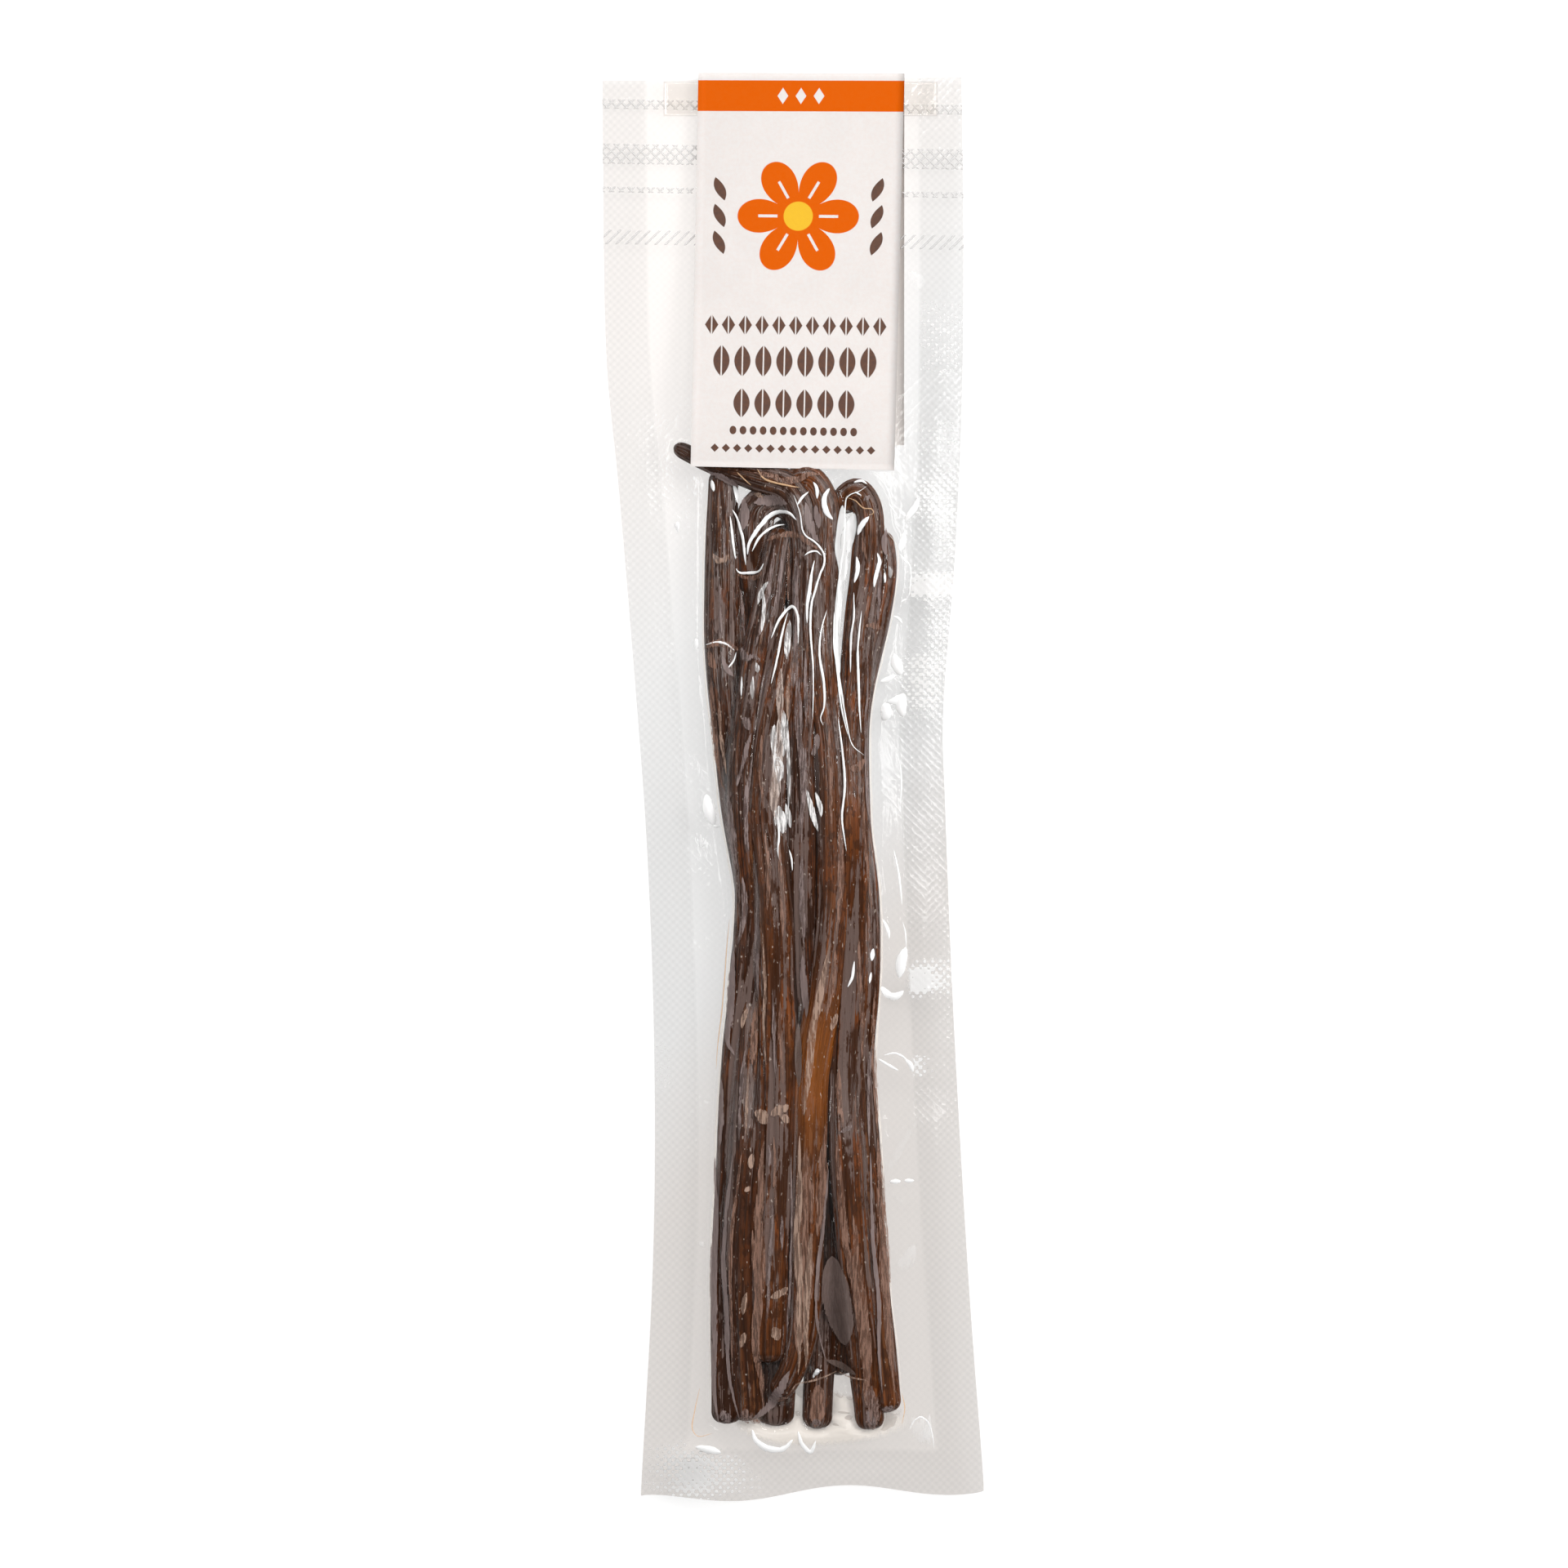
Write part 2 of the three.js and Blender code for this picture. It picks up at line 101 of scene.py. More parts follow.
# Each pod: full width, colour of its skin, then its middle line from the stem end.
PODS = [
    {"name": "pod_left", "width": 5.8, "skin": "dark", "line": [
        (-12.4, 56.5, LOW + 1), (-12.6, 40, MID), (-12.6, 24, MID), (-11.3, 9, MID), (-10, -3, LOW + 1.2),
        (-7.6, -17, LOW), (-6.6, -32, MID), (-7.2, -48, MID + 1), (-8.1, -64, HIGH), (-9.3, -87, HIGH),
        (-8.2, -113, MID)]},
    {"name": "pod_left_outer", "width": 5.6, "skin": "dark", "line": [
        (-1.9, 46, MID + 1), (-2.6, 42.5, HIGH - 0.6), (-4.6, 31, HIGH), (-7, 18, HIGH), (-8.6, 3, HIGH),
        (-8.4, -8, HIGH), (-7.4, -20, HIGH - 1), (-8.5, -35, MID + 1), (-9.8, -48, MID), (-10.6, -62, MID),
        (-11.6, -87, MID), (-11.8, -113.5, MID)]},
    {"name": "pod_front", "width": 6.6, "head": 0.5, "skin": "brown", "line": [
        (-0.4, 31.5, HIGH), (-1.9, 19, TOP), (-3.8, 8, TOP), (-4.6, -5, TOP), (-3.5, -20, TOP),
        (-2.9, -48, HIGH), (-3.1, -64, HIGH), (-4.1, -87, HIGH), (-4.4, -102.5, HIGH - 0.5)]},
    {"name": "pod_bent_stem", "width": 5.4, "head": 0.5, "skin": "dark", "line": [
        (-21.2, 60.6, MID - 0.3), (-14.5, 57.4, MID), (-6.5, 55, MID + 1), (-0.6, 53, HIGH),
        (1.9, 47, HIGH), (1.9, 29, HIGH), (1.6, 9, HIGH), (1.5, -8, HIGH), (1.6, -27, HIGH - 1),
        (2.5, -43, MID), (4.3, -61, LOW), (5.3, -87, LOW), (4.2, -114.5, LOW + 0.6)]},
    {"name": "pod_orange", "width": 5.9, "tip": 0.7, "skin": "brown", "warm": (-50, 11), "line": [
        (-0.8, 53.8, MID + 1), (2.7, 54.4, HIGH), (5.2, 50.5, HIGH), (5.4, 41, HIGH), (5, 29, HIGH),
        (5.4, 17, HIGH), (6.6, 5, HIGH), (7, -20, HIGH), (5.6, -36, HIGH), (3.4, -51, HIGH),
        (2.9, -64, HIGH), (2.2, -87, HIGH), (1.6, -97, HIGH), (-0.3, -104, HIGH),
        (-2.8, -108.5, HIGH - 1)]},
    {"name": "pod_hooked", "width": 5.6, "skin": "brown", "line": [
        (9, 48.6, MID), (9.4, 51.2, MID), (11.4, 52.4, MID + 0.6), (13.2, 49.8, MID + 1),
        (13.2, 39, MID + 1), (12, 29, HIGH), (11.1, 18, HIGH), (10.3, 9, HIGH), (10.6, -8, HIGH),
        (10.2, -34, MID + 1), (9.3, -52, MID + 1), (9.4, -63, HIGH), (11.1, -87, HIGH), (13.4, -109, MID),
        (13.8, -114.5, LOW + 1)]},
    {"name": "pod_right", "width": 5.3, "skin": "brown", "line": [
        (15.4, 45.5, MID), (16.1, 39, MID), (14.4, 29, MID), (11.7, 18, MID), (10.8, 9, LOW + 1),
        (11, -6, LOW + 1), (12.5, -20, MID), (12.7, -35, MID + 1), (11.8, -48, MID), (12.6, -63, MID),
        (14.3, -87, MID), (16.8, -111.5, MID)]},
    {"name": "pod_arched", "width": 7, "skin": "dark", "line": [
        (1.6, 46.5, MID - 0.6), (0.4, 49.6, MID), (-3, 51.2, MID), (-6.2, 49.2, MID), (-6.9, 44.5, MID),
        (-6.4, 36, LOW + 1), (-5.2, 24, LOW), (-3.2, 9, LOW), (-1.4, -20, LOW), (-1.8, -64, LOW),
        (-3.1, -114, LOW + 0.4)]},
    {"name": "pod_under_left", "width": 5.4, "skin": "brown", "line": [
        (-9.8, 46, LOW), (-9.4, 9, LOW), (-7.4, -13, LOW), (-7, -35, LOW), (-8.4, -64, LOW),
        (-9, -108, LOW)]},
    {"name": "pod_under_right", "width": 5.4, "skin": "dark", "line": [
        (-1.5, 48, LOW), (0.4, 40, LOW), (2.2, 24, LOW), (5.8, 2, LOW), (7.6, -20, LOW), (8.4, -42, LOW),
        (8.8, -87, LOW), (8.2, -105, LOW)]},
]
HEAD_TAPER = 0.86
TIP_TAPER = 0.93
TAPER_SHARE = 0.12
END_LENGTH = 2.2
RUN_SHARE = 0.004  # share of a pod's length over which its direction is taken
OVAL = 0.84  # power of a pressed pod's section
POD_FLOOR = 1.5 * FILM
TWIST = 0.1  # turns of the furrows along a pod
WANDER = 0.05  # how far they stray, in turns
WANDER_LENGTH = 16
LUMP = 0.3
LUMP_LENGTH = 9
CELLS_ROUND = 4  # cells of straying and of lumps round a pod
RING_BUNCH = 0.35  # share of the rings' spacing that draws them to a pod's ends
# Relief of each pod's end caps, which the skin darkens as painted furrow shade.
END_RELIEF = -0.6

# How the walls lie over the pods and off them.
POD_CLEAR = 0.6 * FILM
NO_POD = 5  # gap where no pod lies under a wall
COVER_SLOPE = 1.6
COVER_ROUNDS = 45
STRETCH_ROUNDS = 500
SWELL = 0.3
SWELL_CELLS = (20, 9)  # cells of the swelling along and across
SWELL_GAP = (0.5, 3)  # gaps at which it begins and is full
SWELL_MARGIN = 5

# Rows of the walls: shares of their number, and the levels where these lie.
ROW_SHARES = (0, 0.13, 0.96, 1)
ROW_LEVELS = (PACK_TOP, 62, -118, PACK_BOTTOM)
COLUMN_BUNCH = 0.07

# How far the fold highlights and painted sheen bands lie off the front wall, each band a little over the
# one before.
RELIEF_LIFT = 0.03
SHEEN_LIFT = 0.06
SHEEN_LAYER = 0.0006

# The oil stain at the foot, as a pocket, and painted highlights down both sides of the bundle, where the
# front film curls off it.
OIL_STAIN = (2.5, -112, 6, 17, 0, 0.6)
RIM_HIGHLIGHT_WIDTH = 0.4
POCKET_RINGS = 8
POCKET_SIDES = 30

FLOOR_HALF = 3000
SENSOR = 36
FOCUS_HEIGHT = 0.004  # metres over the floor

# Furrows of the skin: cells round a pod, length of a cell, narrowness and depth.
FURROWS = [(5, 110, 0.1, 0.8), (14, 70, 0.14, 0.6), (28, 45, 0.24, 0.5)]

# Ridges on the front film, folds and a few lone highlights, each with a painted white highlight along its
# crest: width, then x and y along their line.
FOLD_HIGHLIGHTS = [
    (0.9, -8.1,41.2, -7.9,42.9, -7,44.7, -5.5,46.7, -4.1,48.2, -2.3,48.9, -0.6,48.5, 0.6,47.3),
    (0.55, -7.3,41.8, -6.1,44.1, -4.7,45.5, -2.9,46.4, -1.5,46.6),
    (0.6, -10.8,49.3, -10,47.9, -9.3,45.5, -8.9,44.1, -8.6,41.2, -8.4,39.4),
    (0.5, -11.2,48.2, -10.9,45.8, -10.6,42.9, -10.2,40.4),
    (0.55, -10.2,38.8, -9.6,38.1, -7.9,38, -6.1,38.3, -5.2,39.7),
    (0.45, 0.1,51.8, 0.7,50.2, 1.3,48.2, 1.7,45.5, 2.3,44.5, 3.8,43.5, 4.9,42.3, 5.5,41.2, 5.5,39.4,
      4.8,37.7, 4.1,35.4, 3.3,32.4, 3.1,27.9, 3.5,22.3, 3.6,17.9, 3.5,11.8),
    (0.5, 0.7,49.9, 1.7,51.4, 2.8,52.4), (0.35, 2,41, 2.9,41.6, 4.1,41.8, 5.1,41),
    (0.7, 3.8,40.2, 3.4,38.3, 3.1,35.9, 2.5,31.7, 2.5,29),
    (1.2, 6.5,53, 5.7,51.7, 5.5,50.2, 6.1,48.5, 7.1,47.4), (0.7, 3.6,54.1, 4.2,53, 4.3,51.1),
    (0.5, 13.1,53.4, 11.8,52.5, 10.2,51.9, 9.5,51.2, 9.3,49.9, 9.2,45.5, 8.9,41.2, 8.4,38.3, 8.2,35.4,
      8,30.4, 7.7,25.9, 8.1,20.2, 8.7,16.2, 9.6,10.9, 10.6,7.3, 12.7,5.5),
    (0.3, 11,52.4, 12.2,51.7), (0.5, 10.8,54.1, 12.2,54.4, 13.2,53.8),
    (1.1, 13.5,48, 12.2,46.4, 11.5,44.7), (0.9, 11.3,40.9, 11.5,38.8, 10.9,36.2),
    (0.9, 15,41.5, 15.4,40, 14.8,37.7, 14.4,35.4), (0.5, 16.3,38.1, 16.4,36.2),
    (0.8, -14.5,54.6, -14.3,53.5, -14.1,52.5), (0.45, 7.3,31, 7.3,25.5, 7.9,20.7, 8.6,14.1, 9.7,9.2),
    (0.5, 6,31.3, 5.1,28.1, 4.7,23.7, 5.5,18.2, 5.5,14.1, 4.9,12.1, 5.4,10.8),
    (0.5, 12.2,31.3, 11.8,27.9, 11.5,24.3, 11.6,20.2, 11.8,14.1, 12.1,9.5),
    (0.45, 10.8,34.5, 10.8,30.3, 10.3,26.3, 10.2,20.2),
    (0.5, 8,12.2, 8.7,7, 9,4.1, 9.2,0, 8.7,-5.4, 9,-8.3, 9.5,-11.5),
    (0.45, -3.9,18.2, -2.9,22.3, -1.9,27.4, -0.9,31),
    (0.6, -3.9,26.3, -2.2,30, -0.1,32, 0.7,30.8, 0.9,25.2),
    (0.45, -2.8,-5.4, -2.5,-8.6, -2.6,-11.9, -2,-14.1), (0.4, -0.7,-11.2, -0.3,-12.7, -0.1,-15),
    (1.3, -7.3,-114.5, -6.6,-116.4, -4.5,-117.9, -1.8,-118, 0,-116.3),
    (0.9, 0.9,-114.8, 1.6,-117.1, 3.1,-118.6, 4.1,-116.5),
    (0.45, 17.9,-11.2, 18.6,-14.4, 19.2,-18.5, 19.4,-21.1),
    (0.5, -15.5,25.2, -13.6,25.7, -11.8,25.3, -10.4,24.2), (0.35, -11.9,20.7, -10.6,22.3, -10.1,23.9),
    (0.4, -9.1,19.6, -9.2,16), (0.9, 14.3,-28.8, 14,-31), (0.5, 13.9,-33, 13.6,-35),
    (0.6, 10.9,-31, 10.5,-34, 9.7,-35.7), (0.25, 17.1,50.3, 17.8,49.3, 18.4,48.3),
    (1.3, 20,47.2, 20.9,48.6, 21.8,49.8, 22.4,51.4), (1.5, 19.7,45.2, 19.6,43.6, 19.1,41.9),
    (0.35, 18.9,41.5, 20,40.3, 20.8,39.3, 21,38, 20.9,36, 20.6,34, 20.2,33.6),
    (0.25, 19.4,41, 20,40, 20.5,39.3), (0.4, 19.2,32.7, 19.8,33.2, 20.4,33.4),
    (0.6, 17.9,30.4, 18.8,29.9, 19.5,29), (2.4, 18,23.6, 18.5,21.6, 19.3,19.8),
    (1.1, 15.6,18.7, 17,19.1, 18.2,19.9), (1.6, 16.8,15, 18.4,15.4, 19.8,16.4),
    (2.4, 19.7,16.6, 19.3,14.8, 19.7,12.4), (2.6, 16.2,14.9, 16.7,13.2, 15.9,11.8),
    (0.3, 18.3,6.5, 19.1,3.5, 19.3,0, 19,-4), (0.7, 16,-23.6, 16.6,-24.8, 17,-26, 17.1,-27.2),
    (0.25, 19.5,-24, 20,-26, 20.2,-29), (2.2, 20.1,-28.6, 19.4,-31, 18.9,-34.1),
    (1.6, 15.6,-35.6, 16.8,-36.9, 17.9,-37.4, 18.9,-37.1, 19.7,-36.4),
    (0.6, 15.2,-48.5, 16.6,-49.4, 18.8,-50.6), (0.4, 16.2,-47.9, 18,-47.5, 19.4,-48, 20.8,-49.2),
    (0.9, 20,-48.6, 20.9,-49.5, 21.4,-50.9), (1, 17.2,-70.4, 19.2,-70.3), (0.8, 19.8,-70.2, 21.6,-70.2),
    (0.35, 20.7,-114.6, 21.6,-113, 22.8,-112.3, 24,-113.2, 24.8,-115.4, 25.1,-118),
    (1.6, -17.4,-117.6, -15,-118.1, -12.8,-118.7), (2.6, -15.5,-1.4, -15.1,-3.5, -14.5,-5.6, -14.1,-7),
    (0.6, -14.7,-6.5, -13.9,-7.1, -12.9,-7),
]

# Threads on the film and lines where oil has crept between its walls, in the same way.
FIBRES = [
    (0.3, -11.3,-23.6, -11.8,-28.7, -12.2,-34.5, -12.7,-40.3, -13.4,-46.1, -13.7,-50.5),
    (0.3, -10,55.9, -8.1,54.1, -7.4,53.5), (0.4, -6.4,56.5, -5.1,54.7, -0.6,53.4, 1.2,53.1),
    (0.25, 9.6,51.4, 11.1,50.8, 12.5,49.5, 14,49.3, 14.3,48.6, 13.4,48.2),
    (0.25, -16.6,-107.1, -17.5,-111.2, -17.9,-114.4, -16.9,-115.7, -14.4,-115.2),
    (0.25, 19.4,-108, 19.9,-110.7, 19.4,-113.6),
]

# Bands of painted sheen where the front film spans between wrinkles or lies loose on the skin, the whitest
# of them painted highlights: tone from dark (0) over grey, rosy and pale (3) to white (4), width, then x
# and y along their line.
SHEEN_BANDS = [
    (2, 3.6, 2.4,-64, 2,-80, 1.6,-92, 1,-101), (2, 2, 15.2,-62, 15.8,-78, 16.6,-92, 17.4,-104),
    (2, 2.2, 10.6,-76, 11.8,-88, 13,-100, 13.7,-107), (2, 2.2, 5.6,-63, 5,-72, 4.4,-80),
    (2, 2, -5.6,-66, -5.9,-80, -6,-98), (0.9, 1.2, -15.2,56, -12.5,54.9, -9.6,53.3),
    (2, 1.3, -7,55.8, -4,55.2, -1.5,54.3, 1,54.6, 3,55.6, 5,55.4),
    (0.9, 1.6, -8.7,51.5, -8.6,48, -8.9,45.5), (0.9, 2.2, -7,50.4, -4,50.9, -1,50.2),
    (3, 1, -7,52.1, -5.6,51.6, -4.6,50.8), (0.9, 1.6, 2.2,50.5, 2.8,47.5, 3.6,44.8, 4.6,43.4),
    (0.9, 1.2, 4,50, 4.3,48, 4.6,45.8), (2, 1.2, -4.9,43.6, -3,44.5, -1,44.9, 1,44.4, 3,43.1, 4.8,42),
    (2, 1, -10,37.8, -8,37.1, -6.3,37.3, -5.4,38.6), (1, 0.9, -3.2,43, -4.2,36, -5.8,28, -7,24),
    (1, 0.8, -1.8,43, -2.4,36, -3.8,29, -4.6,24), (2, 0.7, -0.8,43.4, -0.7,37, -0.9,33),
    (1, 1.3, 0.6,41, 0.4,34, 1.1,28), (1, 0.7, -13,36, -12.9,31, -12.7,27),
    (1, 0.5, -12.2,47.5, -12.3,43, -12.2,40), (1, 0.6, -9.3,35, -8.9,31, -8.6,26.5),
    (3, 1.2, -14.3,41.4, -13.2,40.3, -12,40.6, -11.4,41.4), (0.9, 1, 16.6,46, 16.2,43, 16.6,41),
    (1, 0.9, 15.6,38.5, 15.3,34, 15.1,29.5), (2, 1.2, 12.9,28.5, 14.4,28.6, 15.8,28),
    (2, 0.8, 12.4,45, 12.7,42, 13.3,39.5), (1, 1.5, 12.8,51.5, 13.4,50.9),
    (1, 1.4, -9.1,24.8, -8.4,22.9, -6.9,23.1, -5.8,22.5),
    (2, 1.6, -15.8,24.6, -13.5,25.5, -11,25, -9.7,24.2), (2, 1.5, -14.9,24.2, -14.6,22.4, -13.7,20.9),
    (0.9, 1, -12.6,22.6, -11.8,21, -10.6,19.6), (2, 1.3, -14.6,19, -14.1,11, -13.5,5, -12.7,0.6, -12,-1),
    (3, 0.7, -13.2,15.4, -12.9,10, -12.4,6, -11.8,2), (1, 1.7, -11.9,-1, -11.4,-4, -10.8,-9, -10.2,-14),
    (1, 1.6, -9.2,12.2, -8.2,11.4, -7.8,10), (1, 1.1, -7.4,9.5, -8.8,4.5, -10,0),
    (1, 1, -7.2,5, -8.2,-1, -8.3,-8, -7.8,-14), (2, 0.8, -4.7,15, -5.5,8, -5.7,2, -5.3,-4),
    (1, 1.5, 0.6,31, 0.6,21, 1,12, 1.7,5, 1.8,-2, 1.5,-10), (1, 0.8, 2.2,24, 2.3,17, 2.4,11),
    (1, 1.4, 4.4,9.4, 4,7.2, 3.5,5.4), (3.3, 1.4, -2.1,21, -2.3,16, -2.4,11),
    (3, 0.8, -0.9,20, -0.9,15, -0.8,11.5), (3, 1.3, -3.2,2.4, -3.1,-1, -3,-3.6),
    (2, 1.1, -5,-8, -4.4,-14, -4.6,-22), (1, 0.7, 13.2,24, 13.3,17, 12.9,10, 13,4, 13.2,-2, 14.1,-9),
    (2, 0.7, 12.6,2, 12.5,-6, 13.2,-14, 14,-22), (2, 1.6, 9.9,3.2, 11.3,3.4, 12.8,4.9),
    (2, 0.9, 6.4,10, 6.6,2, 6.8,-7), (2, 1.2, 8.3,-5, 8.5,-12, 8.3,-20, 7.7,-27),
    (1, 1.2, 1.6,-12, 1.6,-20, 1.9,-28), (2, 1.1, -2.4,-10, -2,-18, -1.8,-27),
    (1, 1.2, -9,-16, -8.6,-22, -9.8,-28), (1, 0.9, -6.4,-20, -6.4,-28, -6.2,-38),
    (3, 0.6, -5.4,-26, -5,-36, -5.2,-42, -4.8,-50),
    (0.9, 1.5, -10.6,-29, -11,-36, -11.3,-42, -11.5,-45.6, -10.4,-47.8),
    (3, 0.9, -8,-39.3, -8.6,-41, -9.1,-43), (2, 1.4, -6.3,-38, -6.9,-43, -7.2,-49.5),
    (1, 0.8, -8.3,-46, -9,-51, -9.4,-56, -9.6,-63), (3, 0.6, -7.9,-50, -8.2,-56, -8.4,-62),
    (0.9, 1.4, 1.7,-30, 2,-35, 2.4,-41), (0, 1.3, 0.9,-42, 0.9,-48, 1.1,-53.5),
    (3, 1.5, 6.6,-28, 4.9,-36, 3.7,-43, 2.9,-49, 2.3,-55, 1.9,-58.5), (2, 1, 7.5,-29, 6.9,-35, 5.9,-41),
    (3, 1.2, 7.8,-40.3, 7.4,-42, 6.8,-43.4), (2, 1, 11.7,-27, 11.9,-36, 12.3,-42, 12.3,-49),
    (2, 1.1, -2.3,-38, -2.2,-45, -1.8,-53), (1, 0.8, -3.6,-36, -3.4,-44, -3,-52),
    (1, 0.7, 14.3,-45, 13.6,-49.6, 13.5,-56, 13.6,-64), (2, 1, 14.6,-36, 14.2,-42, 14.6,-52, 15,-62),
    (2, 1.3, 8.2,-50, 8.2,-56, 8.9,-60.5), (3, 2.3, -6.9,-57.9, -5.6,-58.3, -4.8,-60),
    (3, 2, -4,-58.4, -2.6,-57.5, -0.8,-56.6), (3, 1.5, -2.4,-58.2, -0.7,-59.7),
    (1, 1, 8.4,-61.4, 9.6,-60.8, 10.6,-60.2), (0.9, 1.1, -12.8,-52, -12.7,-58, -13,-64),
    (2, 0.7, -3.4,-62, -3.2,-70, -3,-76),
    (0.9, 1.3, -13.9,-66, -13.7,-75, -14.1,-84, -14,-98, -14,-108, -13.2,-113.4),
    (0.9, 1, -10.6,-65, -11.8,-75, -12.3,-82, -11.8,-95, -11.4,-104, -10.5,-109, -9.5,-112.6),
    (2, 0.7, -9,-64, -10,-72, -11,-80, -11,-92, -10.8,-104), (3, 1.3, -7.2,-65.2, -7.5,-67.9),
    (3, 0.9, -7.6,-71, -8.6,-71.9), (3, 1.1, -8.2,-89.8, -8.9,-93.9), (3, 1.2, -8.6,-97, -9.3,-99.7),
    (2, 1.8, -5.2,-63, -6,-72, -6.4,-80, -6.3,-90, -6.5,-100, -5.6,-106, -5.2,-111),
    (1, 0.8, -4.4,-63.5, -4.2,-67.5), (1, 0.8, -3.6,-74, -3.8,-80, -4.2,-87, -4.6,-95),
    (1, 0.7, -2,-76, -2,-82.5), (3, 1.4, -4,-90.8, -2.4,-90, -0.9,-89), (3, 1.9, -3.5,-96, -2.6,-98.4),
    (3, 1.4, 1.2,-62, 1,-72, 0.9,-80, 1,-90, 1.2,-100, 0.9,-104.5),
    (3, 1.3, 3.2,-79, 2.6,-88, 2.4,-96, 2.3,-103.6),
    (1, 0.5, -0.3,-66, -0.3,-80, -0.5,-88, -1,-96, -1.1,-103), (2, 1, 5.8,-60, 5.3,-70, 5.4,-78),
    (2, 1.6, 7.9,-62, 8.3,-72, 9.2,-78, 10,-84, 11,-90, 11.6,-97),
    (0.9, 0.7, 6.3,-68, 5.4,-78, 4.6,-84, 4.1,-90, 4.3,-95, 5,-99, 5.8,-102),
    (0.35, 5.2, 6.9,-83.5, 7.6,-90, 8.7,-96, 9.3,-99.4), (2, 2.2, 12.7,-94, 13,-104, 13,-110),
    (0.9, 0.8, 13.8,-65, 14,-75, 14.5,-84, 15.3,-92, 15.3,-100, 15.9,-108),
    (2, 1.3, 15.6,-68, 16.3,-78, 16.8,-88, 17.3,-98, 18.1,-108),
    (0.9, 1.8, -0.6,-103.8, -2.2,-107, -4.6,-110.6, -7.2,-112.6),
    (2, 3.4, 4.5,-106.5, 4.2,-110, 4,-114.2), (1.5, 3.2, 13.5,-107, 14,-111, 14.3,-114.6),
    (1.5, 2.4, -8.6,-110.6, -8,-113.4), (2, 0.9, -3.4,-109.5, -0.9,-108.6),
    (1, 2, -12.6,-111, -11.4,-113.4), (2, 1.2, -7.6,-112.8, -5.8,-113.2), (1, 1.6, 3.2,-113.6, 5,-113.2),
    (2, 1.6, 4.6,-107, 3.2,-112), (1, 1.3, 15.8,-110.9, 18,-110.4),
    (0, 1.2, 6,-102.2, 8.4,-103, 11.2,-104.6), (1, 1.6, 13.2,-111, 14.6,-113.8),
    (3.4, 2, -2.6,12, -2.7,5, -2.6,-2), (4, 1.4, -3.3,11, -3.4,8.5, -3.4,5.5),
    (4, 1.2, -1.7,13.5, -1.6,10, -1.4,7, -1.7,5.2), (4, 0.7, -1,12, -0.9,8, -0.8,3, -0.8,-1, -0.8,-4),
    (4, 1.8, -3.3,6, -2.8,4.5, -2.5,3, -2.6,0.6), (3.3, 1.8, -3.4,3, -3.3,-1, -3,-6),
    (4, 2.3, -2.5,-3.4, -2.3,-5.5, -1.8,-8.4), (4, 1, -1.3,-3, -0.8,-4.6, -0.4,-7.4),
    (4, 1.2, -0.6,29.6, -1.1,26, -1.1,22.6), (4, 1.1, 2.4,-0.6, 3.1,-3.5, 4.5,-8),
    (4, 0.9, 4,-1, 4.9,-3.5, 5,-5.4), (4, 0.9, -4.4,36.4, -5.3,35, -6.3,32.3),
    (4, 0.8, -5.3,34.6, -5.2,31, -5.6,27.4), (4, 0.9, -6.6,22, -6.3,20.2), (4, 0.7, -7.1,19.6, -7.2,15.4),
    (4, 0.6, 3.5,-105.4, 4.2,-104.2, 5.2,-103.9),
    (3, 0.4, -0.4,-107.6, 0.7,-106.2, 2.8,-105.9, 5,-105.3, 7,-104.5, 8,-104),
    (3, 0.4, 8,-104.2, 10,-105, 13.2,-105.6),
]

# Colours of the painted sheen bands, for the tones 0 to 4; white (4) is a painted highlight.
SHEEN_COLOURS = (
    (0.135, 0.092, 0.077), (0.255, 0.192, 0.18), (0.255, 0.143, 0.103), (0.41, 0.275, 0.21),
    (0.85, 0.83, 0.82))

# Slits between the pods, each covered by a pale strip of painted light that stands in for the floor seen
# through both walls, in the same way.
PAINTED_SLIT_LIGHTS = [
    (2.3, 8.8,50, 8.7,46, 8.5,42, 8.9,39, 8.5,35.5), (2.6, 10.9,48.6, 10.3,46.4, 9.6,43.6, 9.1,40.6),
    (1.3, 8.9,41, 8.4,36, 8,31, 7.9,26, 8.3,20), (0.9, -10.6,53.8, -10,52, -9.8,50.4),
]

# Pockets of air under the front film, each dome given a painted white highlight: middle, half length, half
# width, turn in degrees, height.
POCKET_HIGHLIGHTS = [
    (18.0, -13.5, 1.5, 0.4, 0, 0.35), (19.2, -64.2, 5, 1.1, -32, 0.32), (19.4, -73.8, 1.7, 0.9, 75, 0.3),
    (20.4, -84.2, 2.9, 1.5, -25, 0.35), (19.2, -93.3, 1.5, 0.9, 70, 0.3),
    (22.7, -114.5, 3.5, 1.7, 20, 0.36), (24.0, -114.8, 3.2, 0.9, -10, 0.38),
    (-20.5, 46.3, 1.3, 0.7, 0, 0.5), (-17.3, 25.2, 1.3, 0.7, 0, 0.45), (-16.4, -9.7, 1.3, 0.6, 10, 0.4),
    (-15.3, -55.4, 1.2, 0.7, 80, 0.3), (-15.9, -60.5, 1.2, 0.7, 70, 0.3),
    (-16.2, -81.6, 0.7, 0.6, 0, 0.35), (-16.9, -89.8, 1.3, 0.9, 60, 0.3), (17.3, 38.3, 1.3, 0.6, 10, 0.4),
    (-13.8, 40.9, 0.9, 0.7, 0, 0.3), (-11.4, 39.9, 0.9, 0.4, -20, 0.3), (13.4, -20.0, 1.8, 0.6, 0, 0.2),
    (4.2, -104.3, 1.0, 0.5, -60, 0.5), (22, 90.2, 2.2, 1.6, 20, 0.35),
]
